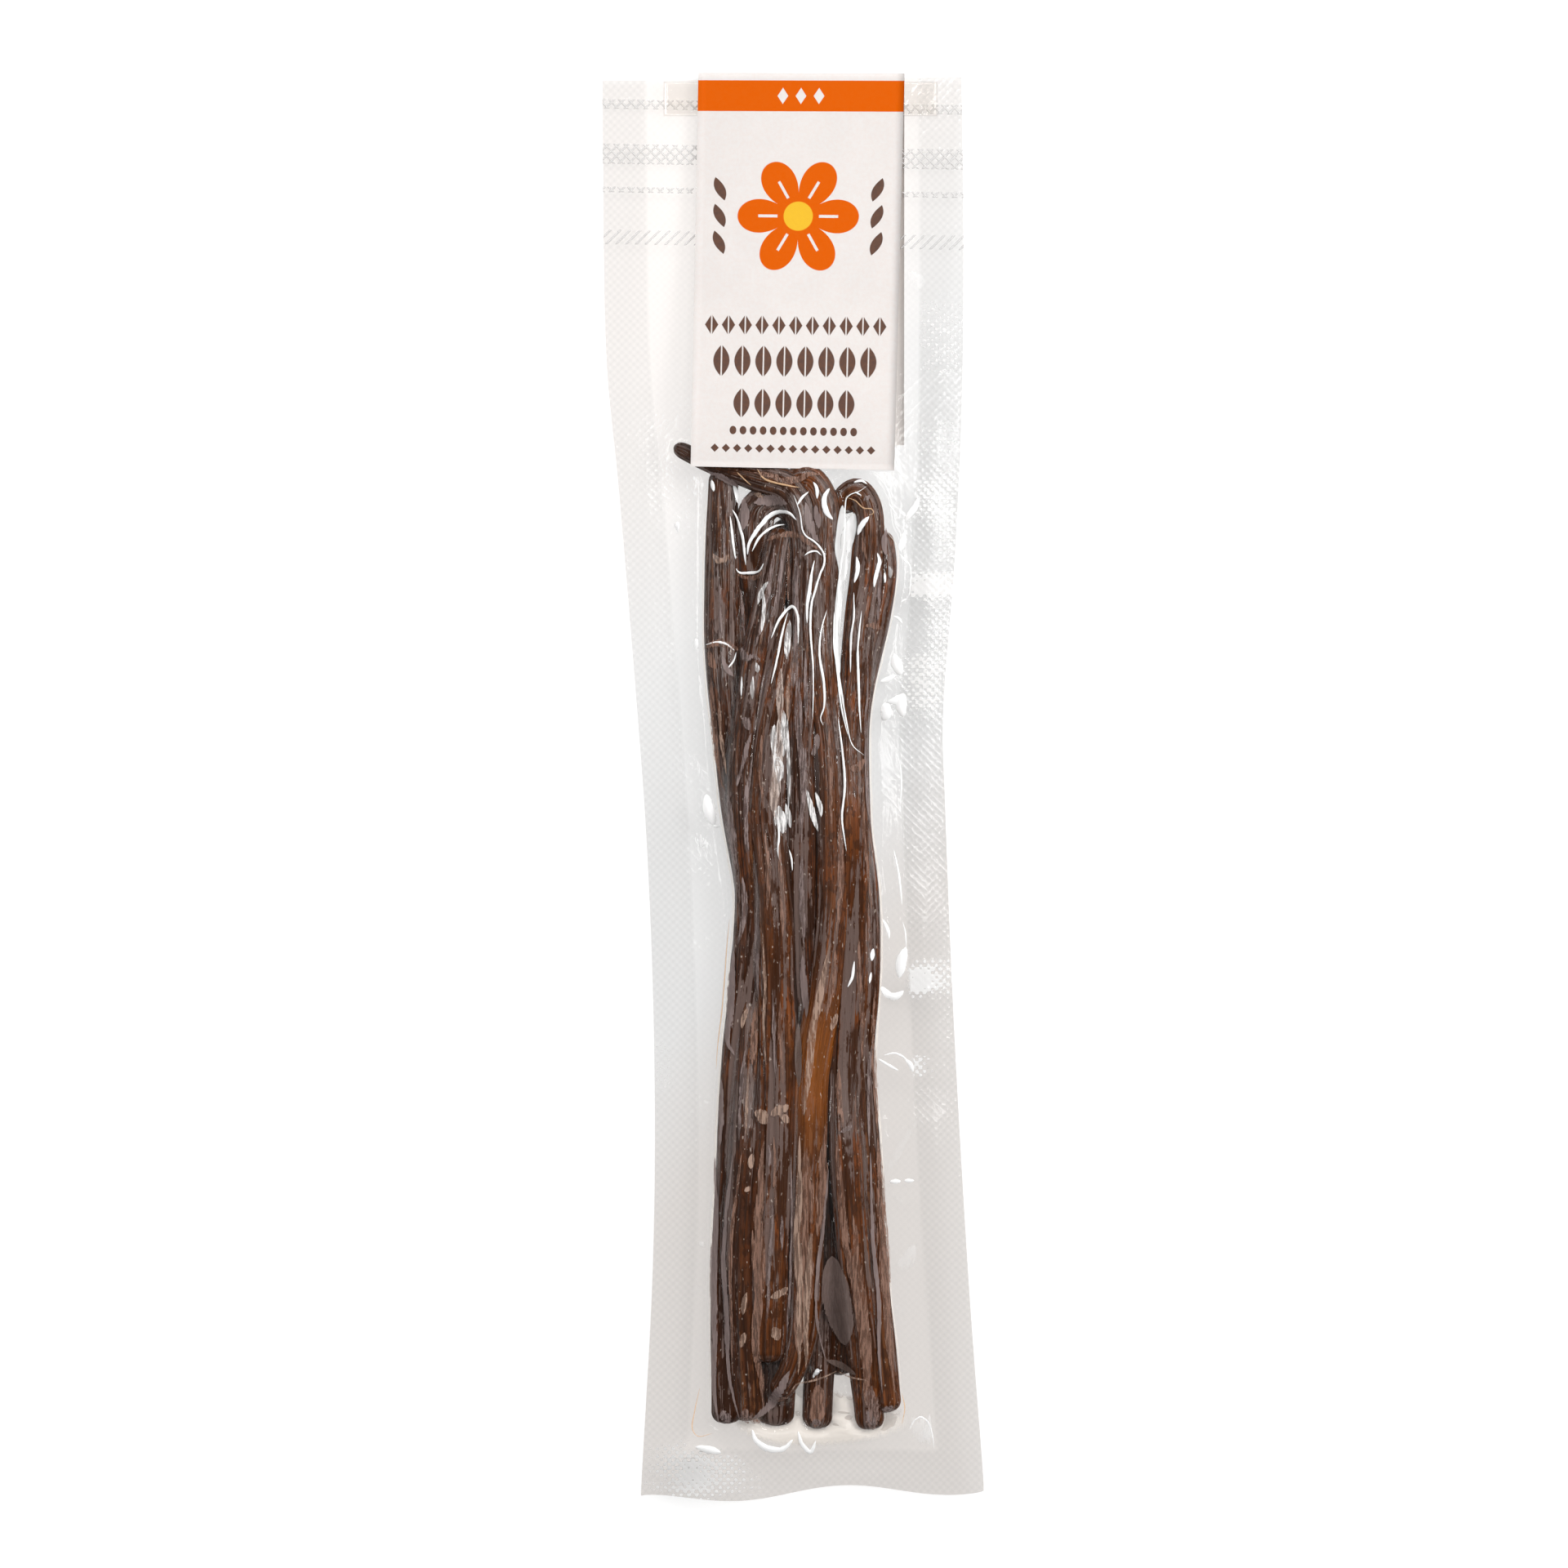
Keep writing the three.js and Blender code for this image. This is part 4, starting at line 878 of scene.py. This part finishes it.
def build_label():
    """The label as one closed folded sheet: up the front panel, half a turn round the fold,
    down the back panel, given its thickness square to its run."""
    columns, rows, fold_rows = 24, 60, 14
    across = np.linspace(0, 1, columns + 1)
    along = lambda edge: [edge[0][k] + (edge[1][k] - edge[0][k]) * across for k in (0, 1)]
    fold_x, apex = along(LABEL_FOLD)
    radius = (label_rise(apex) + LABEL_UNDER_FILM) / 2
    fold_y = apex - radius - PAPER / 2
    fold_z = film_middle(fold_x, PACK_TOP + 0 * fold_x) + (label_rise(apex) - LABEL_UNDER_FILM) / 2

    def panel(edge, share, rise):
        edge_x, edge_y = along(edge)
        x, y = edge_x + (fold_x - edge_x) * share, edge_y + (fold_y - edge_y) * share
        return np.stack([x, y, film_middle(x, y) + rise(y)], -1)

    up = np.arange(rows)[:, None] / rows
    down = 1 - np.arange(1, rows + 1)[:, None] / rows
    turn = np.linspace(0.5, -0.5, fold_rows + 1)[:, None] * np.pi
    fold = [fold_x + 0 * turn, fold_y + radius * np.cos(turn), fold_z + radius * np.sin(turn)]
    middle = np.concatenate([
        panel(LABEL_FRONT, up, label_rise), np.stack(fold, -1),
        panel(LABEL_BACK, down, lambda y: -LABEL_UNDER_FILM)])
    run = np.gradient(middle, axis=0)
    run[..., 0] = 0
    run = unit(run)
    out = np.stack([0 * run[..., 0], -run[..., 2], run[..., 1]], -1) * PAPER / 2
    reach = np.concatenate([[0], np.cumsum(np.linalg.norm(np.diff(middle[:, 0], axis=0), axis=1))])
    uv = np.stack([np.tile(across, len(reach)), np.repeat(reach, columns + 1) / UV_RUN], -1)
    piece = build_sheet("label_paper", middle + out, middle - out, uv)
    add_attribute(piece, "outside", np.repeat([1, 0], len(uv)))
    return piece


def build_tape():
    """The tape: a thin closed strip over the film's middle, under the label."""
    columns, rows = 60, 12
    x, y = np.meshgrid(np.linspace(*TAPE_ENDS, columns + 1), np.linspace(*TAPE_LEVELS[::-1], rows + 1))
    middle = film_middle(x, y) + TAPE_RISE
    upper, lower = (np.stack([x, y, middle + side * TAPE / 2], -1) for side in (1, -1))
    u, v = np.meshgrid(np.linspace(0, 1, columns + 1), np.linspace(1, 0, rows + 1))
    return build_sheet("tape_strip", upper, lower, np.stack([u, v], -1).reshape(-1, 2), flip=True)


# ---- Materials ----

def maths(operation):
    """A method of Value that joins it to other values by a node-maths operation."""
    return lambda self, *others: self.nodes.math(operation, self, *others)


class Value:
    """What a node gives out, so that node maths is written as plain sums."""
    __add__ = maths("ADD")
    __sub__ = maths("SUBTRACT")
    __mul__ = maths("MULTIPLY")
    __truediv__ = maths("DIVIDE")
    __pow__ = maths("POWER")
    __abs__ = maths("ABSOLUTE")
    least = maths("MINIMUM")
    most = maths("MAXIMUM")
    sine = maths("SINE")
    cosine = maths("COSINE")
    root = maths("SQRT")
    angle = maths("ARCTAN2")
    wrap = maths("WRAP")
    pingpong = maths("PINGPONG")

    def __init__(self, nodes, socket):
        self.nodes = nodes
        self.socket = socket

    def __rsub__(self, other):
        return self.nodes.math("SUBTRACT", other, self)

    def repeat(self, pitch):
        """Distance from the middle of a cell that comes again at every pitch"""
        return abs(self.wrap(pitch / 2, -pitch / 2))

    def step(self, low, high, at_low=0, at_high=1):
        """at_low up to low, at_high from high on, and a smooth step between"""
        return self.nodes.get("MapRange", {
            "Value": self, "From Min": low, "From Max": high, "To Min": at_low, "To Max": at_high},
            interpolation_type="SMOOTHSTEP")


class Nodes:
    """A material's node tree, with short calls for the nodes that the finishes use."""

    def __init__(self, name):
        self.material = bpy.data.materials.new(name)
        self.material.use_nodes = True
        self.tree = self.material.node_tree
        self.tree.nodes.clear()
        self.output = self.add("OutputMaterial")

    def add(self, kind, inputs=None, **settings):
        node = self.tree.nodes.new("ShaderNode" + kind)
        for key, value in settings.items():
            setattr(node, key, value)
        for key, value in (inputs or {}).items():
            self.put(node.inputs[key], value)
        return node

    def put(self, socket, value):
        if isinstance(value, Value):
            self.tree.links.new(value.socket, socket)
        elif isinstance(socket.default_value, (int, float)):
            socket.default_value = value
        else:
            socket.default_value = (*value, 1)[:len(socket.default_value)]

    def get(self, kind, inputs=None, output=0, **settings):
        return Value(self, self.add(kind, inputs, **settings).outputs[output])

    def math(self, operation, *values):
        return self.get("Math", dict(enumerate(values)), operation=operation)

    def attribute(self, name):
        return self.get("Attribute", output="Fac", attribute_name=name)

    def place(self):
        return self.get("TexCoord", output="Object")

    def uv(self):
        return self.get("UVMap", uv_map="UVMap")

    def split(self, vector):
        """X and Y of a vector"""
        node = self.add("SeparateXYZ", {"Vector": vector})
        return Value(self, node.outputs[0]), Value(self, node.outputs[1])

    def noise(self, vector, scale, detail=3, roughness=0.5, distortion=0):
        return self.get("TexNoise", {
            "Vector": vector, "Scale": scale, "Detail": detail, "Roughness": roughness,
            "Distortion": distortion}, "Fac")

    def streaks(self, vector, across, along, *noise):
        """Noise with its own numbers of cells to a unit across and along"""
        drawn = self.get("Mapping", {"Vector": vector, "Scale": (across, along, across)})
        return self.noise(drawn, 1, *noise)

    def blend(self, factor, first, second):
        """A colour between two others"""
        return self.get("Mix", {0: factor, 6: first, 7: second}, 2, data_type="RGBA")

    def bump(self, height, strength, distance):
        return self.get("Bump", {"Height": height, "Strength": strength, "Distance": distance})

    def glancing(self, **inputs):
        """How much more the surface mirrors at a slant"""
        return self.get("LayerWeight", {"Blend": 0.5, **inputs}, "Facing") ** 4 * 0.6

    def glossy(self, roughness, normal):
        return self.get("BsdfGlossy", {"Color": (1, 1, 1), "Roughness": roughness, "Normal": normal})

    def clear(self, colour):
        return self.get("BsdfTransparent", {"Color": colour})

    def mix(self, factor, first, second):
        """A finish between two others"""
        return self.get("MixShader", {0: factor, 1: first, 2: second})

    def over_film(self, solidity, grain, inputs):
        """A finely grained finish that covers clear film by its solidity"""
        solid = self.get("BsdfPrincipled", {"Normal": self.bump(grain, 0.3, 0.0002), **inputs})
        return self.finish(self.mix(solidity, self.clear((0.99, 0.99, 0.99)), solid))

    def finish(self, shader):
        self.put(self.output.inputs["Surface"], shader)
        return self.material


def pod_material(name, skin, settings):
    """Oily pod skin: brown drawn out in lengthwise streaks, paler on the crests, darkened in the furrows as
    painted shade, with grey-violet painted sheen in dull streaks, fine wrinkles in the bump and a wet coat
    that is thinner in the furrows."""
    n = Nodes(name)
    uv, place = n.uv(), n.place()
    streak = n.streaks(uv, 26, 2.4, 3, 0.6, 0.3)
    fine = n.streaks(uv, 50, 6, 3, 0.6, 0.2)
    painted_skin_sheen = n.streaks(uv, 13, 2.6, 5, 0.62, 0.25)
    patch = n.noise(place, 85, 3, 0.6)
    speck = n.streaks(place, 2300, 1000, 1)
    crumb = n.streaks(place, 1100, 420, 3, 0.65)
    relief = n.attribute("relief")
    warm = (skin[0] * 1.75, skin[1] * 1.55, skin[2] * 1.1)
    dark_tone_and_shade = [c * 0.4 for c in skin]
    pale = relief.step(-0.25, 0.35) * fine.step(0.48, 0.56)
    wet = relief * 0.05 + crumb.step(0.4, 0.65, 0, 0.06)
    colour = n.blend(streak.step(0.42, 0.58), dark_tone_and_shade, skin)
    for factor, over in (
        (patch.step(0.5, 0.66) * fine.step(0.4, 0.6), warm),
        (pale * 0.55, settings.ridge),
        # Painted shade: low relief, the furrows and the pods' ends, darkened toward the deep colour; the
        # coat below also thins there.
        (relief.step(-0.35, -1), dark_tone_and_shade),
        (crumb.step(0.5, 0.57, 0, 0.72), dark_tone_and_shade),
        # Painted sheen in dull grey-violet streaks where the film is not wetted.
        ((painted_skin_sheen - wet).step(0.53, 0.555, 0, 0.85), settings.painted_skin_sheen),
        (n.attribute("warm") * streak.step(0.35, 0.6, 0.6, 1), settings.orange),
        (speck.step(0.7, 0.76, 0, 0.55), (0.6, 0.5, 0.43)),
    ):
        colour = n.blend(factor, colour, over)
    height = streak * 0.5 + fine * 0.5
    return n.finish(n.get("BsdfPrincipled", {
        "Base Color": colour, "Roughness": fine.step(0.3, 0.7, 0.5, 0.3), "Specular IOR Level": 0.15,
        "Normal": n.bump(height, 0.8, 0.0007), "Coat Weight": relief.step(-0.8, -0.3, 0.1, 0.5),
        "Coat Roughness": 0.1, "Coat IOR": 1.5, "Coat Normal": n.bump(height, 0.5, 0.0009)}))


def back_shade_ramp(n, x, y, settings):
    """What the back wall lets through, along a ramp from its lower right to its upper left: the film's own
    grey with painted shade, darkest at the lower right and palest at the upper left.
    """
    ramp = n.add("ValToRGB", {"Fac": (y - x * 1.2 + 130 * MM) / (260 * MM)})
    grey, pale, warm = map(np.array, (settings.grey, settings.pale, settings.warm))
    stops = ((0.04, warm), (0.31, warm * 1.02), (0.43, grey), (0.57, grey), (0.69, grey * 1.08),
             (0.83, (grey + 3 * pale) / 4), (0.96, pale))
    for k, (at, tint) in enumerate(stops):
        stop = ramp.color_ramp.elements[k] if k < 2 else ramp.color_ramp.elements.new(at)
        stop.position, stop.color = at, (*tint, 1)
    return Value(n, ramp.outputs[0])


def film_material(name, settings, front):
    """Clear film: see-through, mirroring more at a slant and where air lies between it and the pods, with a
    woven emboss that is strongest in the sealed margins and bands of slanting lines across the top. Painted
    glints whiten the emboss in places, a faint painted sheen lies over loose film on the pods, and the back
    wall carries painted shade in its tints."""
    n = Nodes(name)
    place = n.place()
    x, y = n.split(place)
    gap, seal = n.attribute("gap"), n.attribute("seal")
    pitch = 2 * math.pi / (WEAVE * MM)
    weave = (x * pitch).sine() * (y * pitch).sine()
    patch = n.streaks(place, 420, 90, 4, 0.55)
    loose = (gap + patch.step(0.35, 0.65, -0.12, 0.12)).step(0.13, 0.16)
    off = gap.step(0.3, 1)
    raised = y + x * BAND_LEAN
    rising, falling = (x - raised).repeat(BAND_PITCH * MM), (x + raised).repeat(BAND_PITCH * MM)
    bands = 0
    for level, half, crossed in BANDS:
        inside = abs(raised - level * MM).step((half + 0.1) * MM, (half - 0.1) * MM)
        line = rising.least(falling) if crossed else rising
        bands = (inside * line.step(0.32 * MM, 0.1 * MM)).most(bands)
    ripple = n.noise(place, 180)
    crinkle = n.streaks(place, 1500, 260, 3, 0.6)
    share = loose * seal.step(0, 1, 0.35, 1)
    height = weave * share * settings.emboss + bands * (0.22 * MM)
    height = height + ripple * (0.15 * MM) + crinkle * (0.03 * MM)
    normal = n.bump(height, 1, 1)
    dots = (weave * 0.5 + 0.5) * share
    dull = bands * 0.07 + dots * 0.045
    # Painted glints: where the glint places lie, the weave's dots turn white; the haze below carries them
    # with the seal's faint milkiness and the band lines.
    broken = n.streaks(place, 240, 1250, 2)
    patchy = n.attribute("glint") + broken.step(0.35, 0.65, -0.4, 0.2)
    filled = ((patchy - 0.9) * 1.6).most(0)
    sparkle = (weave + filled).step(0.1, 0.55) * patchy.step(0.25, 0.8)
    haze = seal * (sparkle * 0.9 + 0.03) + bands * 0.35
    tint, milk = settings.clear, settings.milk
    if front:
        # Painted sheen: a faint pinkish white mixed in where the film lies loose over the pods.
        milk = n.blend(off, (0.85, 0.66, 0.6), milk)
        painted_film_sheen = loose * off.step(0, 1, settings.painted_film_sheen, 0.01)
        haze = haze + painted_film_sheen * crinkle.step(0.35, 0.65, 0.6, 1.4)
    else:
        tint = back_shade_ramp(n, x, y, settings)
        # Painted shade: the sealed margins are dulled, the more on the right beside the upper bundle.
        beside = y.step(-80 * MM, 20 * MM) * y.step(100 * MM, 60 * MM, 0, 0.1) * x.step(-10 * MM, 10 * MM)
        dull = dull + seal * (beside + 0.08)
    clear = n.clear(n.blend(dull, tint, (0.2, 0.2, 0.2)))
    body = n.mix(haze, clear, n.get("BsdfDiffuse", {"Color": milk, "Normal": normal}))
    mirror = n.glancing() + loose * off.step(0, 1, 0.025, 0.014)
    return n.finish(n.mix(mirror, body, n.glossy(seal.step(0, 1, settings.roughness, 0.12), normal)))


def highlight_and_stain_material(name, colour, cover, broken):
    """Coloured and glossy along its crest, clear at its rim, broken up along its length, and fainter the
    higher its tone: on the folds and domes the white crest is a painted highlight, on the slits painted
    light, along the bundle's sides a painted rim highlight, and on the oil stain and the fibres their own
    colour."""
    n = Nodes(name)
    grain = n.streaks(n.place(), 1300, 300, 3, 0.6)
    crest = n.attribute("crest") + grain.step(0.4, 0.7, 0.1, -broken)
    solidity = crest.step(0.1, 0.45, 0, cover) * (1 - n.attribute("tone"))
    return n.over_film(solidity, grain, {"Base Color": colour, "Roughness": 0.25})


def sheen_band_material(colours, cover):
    """Painted sheen of film that spans between wrinkles, with painted highlights at the whitest tone: a
    thin cover in the colour of its tone, drawn out in lengthwise streaks and ragged at its sides."""
    n = Nodes("film_sheen_band")
    place = n.place()
    grain = n.streaks(place, 1400, 160, 4, 0.65)
    fine = n.streaks(place, 3000, 300, 3, 0.6)
    tone = n.attribute("tone")
    colour = colours[0]
    for level, following in enumerate(colours[1:]):
        colour = n.blend(tone.step(level, level + 1), colour, following)
    ragged = grain.step(0.4, 0.66, 0.15, tone.step(2, 3, tone.step(0.5, 1, -0.1, -0.75), -0.5))
    crest = n.attribute("crest") + ragged
    most = tone.step(3, 4, cover, 0.95) * fine.step(0.42, 0.56, 1, tone.step(0.92, 0.99, 0.8, 0.3))
    return n.over_film(crest.step(0.03, 0.2) * most, grain, {
        "Base Color": colour, "Roughness": 0.35, "Specular IOR Level": 0.2})


def paper_material(settings):
    """Printed paper: an orange stripe under the fold, a blossom of six petals between two
    sprigs, and rows of brown ornament, all worked out from the label's own UV."""
    n = Nodes("label_print")
    u, v = n.split(n.uv())
    x, y = (u - 0.5) * PRINT_WIDTH, v * UV_RUN

    def within(value, half):
        return abs(value).step(half + 0.05, half - 0.05)

    def motif(across, along, wide, high, p, q):
        return ((abs(across) / wide) ** p + (abs(along) / high) ** q).step(1.05, 0.95)

    brown = 0
    for level, high, half, pitch, wide, p, q in ORNAMENT:
        across = (x + (0 if round(2 * half / pitch) % 2 else pitch / 2)).repeat(pitch)
        shape = motif(across, y - level, wide, high, p, q)
        if high > 1.5:
            shape = shape * across.step(0.08, 0.16)
        brown = (shape * within(x, half)).most(brown)
    level, size = BLOSSOM
    rise = y - level
    radius = (x * x + rise * rise).root()
    turn = rise.angle(x) * 3
    edge = (abs(turn.cosine()) ** 0.6 * 0.62 + 0.38) * size
    vein = (radius * abs(turn.sine())).step(0.9, 0.6) * (radius.step(3.6, 3.8) * radius.step(7.2, 7))
    petals = (radius - edge).step(0.1, -0.1) * (1 - vein)
    leaf = rise.wrap(2.4, -2.4)
    leaves = motif(abs(x) - 14 - leaf * 0.4, leaf, 0.95, 2.1, 1, 2)
    brown = brown.most(leaves * within(rise, 7.2))
    middle = (STRIPE[0] + STRIPE[1]) / 2
    marks = motif(x.repeat(3.2), y - middle, 0.95, 1.45, 1, 1)
    stripe = within(y - middle, (STRIPE[1] - STRIPE[0]) / 2) * (1 - marks * within(x, 4.8))
    place = n.place()
    fibre = n.noise(place, 1500, 4, 0.6)
    mottle = n.noise(place, 160, 3, 0.6)
    colour = n.blend(mottle.step(0.35, 0.65), settings.paper, [c * 0.975 for c in settings.paper])
    for factor, ink in (
        (brown, settings.brown),
        (petals.most(stripe), settings.orange),
        (radius.step(2.7, 2.5), settings.yellow),
        (fibre.step(0.3, 0.7, 0, 0.06), (0.6, 0.2, 0.05)),
    ):
        colour = n.blend(factor, colour, ink)
    colour = n.blend(n.attribute("outside"), settings.inside, colour)
    return n.finish(n.get("BsdfPrincipled", {
        "Base Color": colour, "Roughness": fibre.step(0.3, 0.7, 0.55, 0.7), "Specular IOR Level": 0.04,
        "Normal": n.bump(fibre, 0.2, 0.0001)}))


def tape_material():
    """Clear tape: see-through and glossy, a little darker along its cut edges, with small
    trapped bubbles."""
    n = Nodes("clear_tape")
    place = n.place()
    u, v = n.split(n.uv())
    sides, ends = (value.pingpong(0.5) * (high - low)
                   for value, (low, high) in ((u, TAPE_ENDS), (v, TAPE_LEVELS)))
    bubble = n.get("TexVoronoi", {"Vector": place, "Scale": 1100}, "Distance")
    bubbles = bubble.step(0.3, 0.15) * n.noise(place, 260, 2).step(0.55, 0.65)
    dull = sides.least(ends).step(0.28, 0.08).most(bubbles * 0.5)
    normal = n.bump(n.noise(place, 420) + bubbles * 0.5, 0.25, 0.0004)
    clear = n.clear(n.blend(dull, (0.995, 0.982, 0.968), (0.965, 0.955, 0.95)))
    return n.finish(n.mix(n.glancing(Normal=normal) + 0.05, clear, n.glossy(0.12, normal)))


# ---- Operators ----

def dress(piece, material, node):
    """Gives a piece its material, and says what it rides, replaces and is made of."""
    piece.data.materials.append(material)
    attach(piece, BODY)
    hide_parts(node)


class VANILLA_OT_pods(bpy.types.Operator):
    """Make the ten pods"""
    bl_idname = "vanilla.pods"
    bl_label = "Pods"

    def execute(self, context):
        settings = context.scene.vanilla_pods
        skins = {key: pod_material("pod_" + key, getattr(settings, key), settings)
                 for key in ("dark", "brown")}
        for seed, pod in enumerate(PODS):
            dress(build_pod(pod, seed + 1, settings), skins[pod["skin"]], "pouch")
        return {"FINISHED"}


class VANILLA_OT_film(bpy.types.Operator):
    """Make the two walls of clear film"""
    bl_idname = "vanilla.film"
    bl_label = "Film"

    def execute(self, context):
        settings = context.scene.vanilla_film
        front, front_gap, back, back_gap = film_heights(context.scene.vanilla_pods, settings)
        columns, rows = settings.columns, settings.rows
        ridges = lambda table, *rise: [ridge_part(width, line, front, *rise) for width, *line in table]
        sheen_parts = [ridge_part(width, line, front + SHEEN_LIFT + SHEEN_LAYER * k, 0, 0.5, tone + 0.01)
                   for k, (tone, width, *line) in enumerate(SHEEN_BANDS)]
        pocket_highlights = [pocket_part(seed, *pocket, front) for seed, pocket in enumerate(POCKET_HIGHLIGHTS)]
        oil = [pocket_part(0, *OIL_STAIN, back)]
        # The lines down the bundle's sides are painted highlights, in the oil stain's finish.
        oil += [ridge_part(RIM_HIGHLIGHT_WIDTH, line, front) for line in bundle_sides(front_gap)]
        front_film = film_material("film_front", settings, True)
        back_film = film_material("film_back", settings, False)
        pieces = (
            (build_wall("film_front", front, front_gap, columns, rows, True), front_film),
            (build_wall("film_back", back, back_gap, columns * 3 // 5, rows * 3 // 5, False), back_film),
            (build_rim(front, back), front_film),
            # The white crests of the folds are painted highlights.
            (join_parts("film_fold_highlights", ridges(FOLD_HIGHLIGHTS)),
             highlight_and_stain_material("film_fold_highlight", (0.95, 0.945, 0.94), 1, 0.3)),
            (join_parts("film_sheen_bands", sheen_parts), sheen_band_material(SHEEN_COLOURS, 0.9)),
            # The white domes of the pockets are painted highlights.
            (join_parts("film_pocket_highlights", pocket_highlights),
             highlight_and_stain_material("film_pocket_highlight", (0.92, 0.92, 0.92), 0.85, 0.8)),
            # The slits are pale strips of painted light over the shaded gaps.
            (join_parts("film_slit_painted_lights", ridges(PAINTED_SLIT_LIGHTS, 0.02)),
             highlight_and_stain_material("film_slit_painted_light", (0.72, 0.715, 0.71), 1, 0)),
            (join_parts("film_oil_and_rim_highlights", oil), highlight_and_stain_material("film_oil_and_rim_highlights", (0.95, 0.87, 0.78), 0.5, 0)),
            (join_parts("film_fibres", ridges(FIBRES)),
             highlight_and_stain_material("film_fibre", (0.8, 0.5, 0.28), 0.7, 0.3)),
        )
        for piece, material in pieces:
            dress(piece, material, "pouch")
        return {"FINISHED"}


class VANILLA_OT_label(bpy.types.Operator):
    """Make the folded label and the tape under it"""
    bl_idname = "vanilla.label"
    bl_label = "Label and Tape"

    def execute(self, context):
        dress(build_label(), paper_material(context.scene.vanilla_label), "label")
        dress(build_tape(), tape_material(), "tape")
        return {"FINISHED"}


class VANILLA_OT_stage(bpy.types.Operator):
    """Make the floor, the lights and the camera"""
    bl_idname = "vanilla.stage"
    bl_label = "Studio"

    def execute(self, context):
        scene = context.scene
        settings = scene.vanilla_stage
        corners = [(x * FLOOR_HALF, y * FLOOR_HALF, 0) for x, y in ((-1, -1), (1, -1), (1, 1), (-1, 1))]
        floor = make_object("floor", corners, [(0, 1, 2, 3)], smooth=False)
        n = Nodes("floor")
        floor.data.materials.append(n.finish(n.get("BsdfPrincipled", {
            "Base Color": settings.floor, "Roughness": 0.9, "Specular IOR Level": 0,
            "Emission Color": (1, 1, 1), "Emission Strength": settings.glow})))

        world = bpy.data.worlds.new("studio")
        world.use_nodes = True
        scene.world = world
        background = world.node_tree.nodes["Background"]
        background.inputs["Color"].default_value = (1, 1, 1, 1)
        background.inputs["Strength"].default_value = settings.world

        for name, place, size, power in LAMPS:
            light = bpy.data.lights.new(name, "AREA")
            light.shape = "RECTANGLE"
            light.size, light.size_y = size
            light.energy = power
            lamp = bpy.data.objects.new(name, light)
            lamp.location = place
            lamp.rotation_euler = (-Vector(place)).to_track_quat("-Z", "Y").to_euler()
            scene.collection.objects.link(lamp)

        lens = bpy.data.cameras.new("camera")
        lens.sensor_width = SENSOR
        lens.lens = SENSOR * (settings.camera_height - FOCUS_HEIGHT) / settings.view_width
        lens.clip_end = 10
        camera = bpy.data.objects.new("camera", lens)
        camera.location = (-1.6 * MM, 0.44 * MM, settings.camera_height)
        scene.collection.objects.link(camera)
        scene.camera = camera
        scene.view_settings.view_transform = "Standard"
        return {"FINISHED"}


class VANILLA_PT_panel(bpy.types.Panel):
    """Buttons and settings of the vanilla pack"""
    bl_idname = "VANILLA_PT_panel"
    bl_label = "Vanilla Pod Pack"
    bl_space_type = "VIEW_3D"
    bl_region_type = "UI"
    bl_category = "Vanilla"

    def draw(self, context):
        for name, group in GROUPS.items():
            box = self.layout.box()
            box.label(text=name[8:].title())
            for key in group.__annotations__:
                box.prop(getattr(context.scene, name), key)
        for operator in OPERATORS:
            self.layout.operator(operator.bl_idname)


GROUPS = {
    "vanilla_pods": VanillaPodSettings,
    "vanilla_film": VanillaFilmSettings,
    "vanilla_label": VanillaLabelSettings,
    "vanilla_stage": VanillaStageSettings,
}
OPERATORS = (VANILLA_OT_pods, VANILLA_OT_film, VANILLA_OT_label, VANILLA_OT_stage)


def register():
    for item in (*GROUPS.values(), *OPERATORS, VANILLA_PT_panel):
        bpy.utils.register_class(item)
    for name, group in GROUPS.items():
        setattr(bpy.types.Scene, name, PointerProperty(type=group))


def unregister():
    for name in GROUPS:
        delattr(bpy.types.Scene, name)
    for item in (VANILLA_PT_panel, *reversed(OPERATORS), *reversed(GROUPS.values())):
        bpy.utils.unregister_class(item)


def main():
    register()
    for operator in OPERATORS:
        getattr(bpy.ops.vanilla, operator.bl_idname.split(".")[1])()


if __name__ == "__main__":
    main()
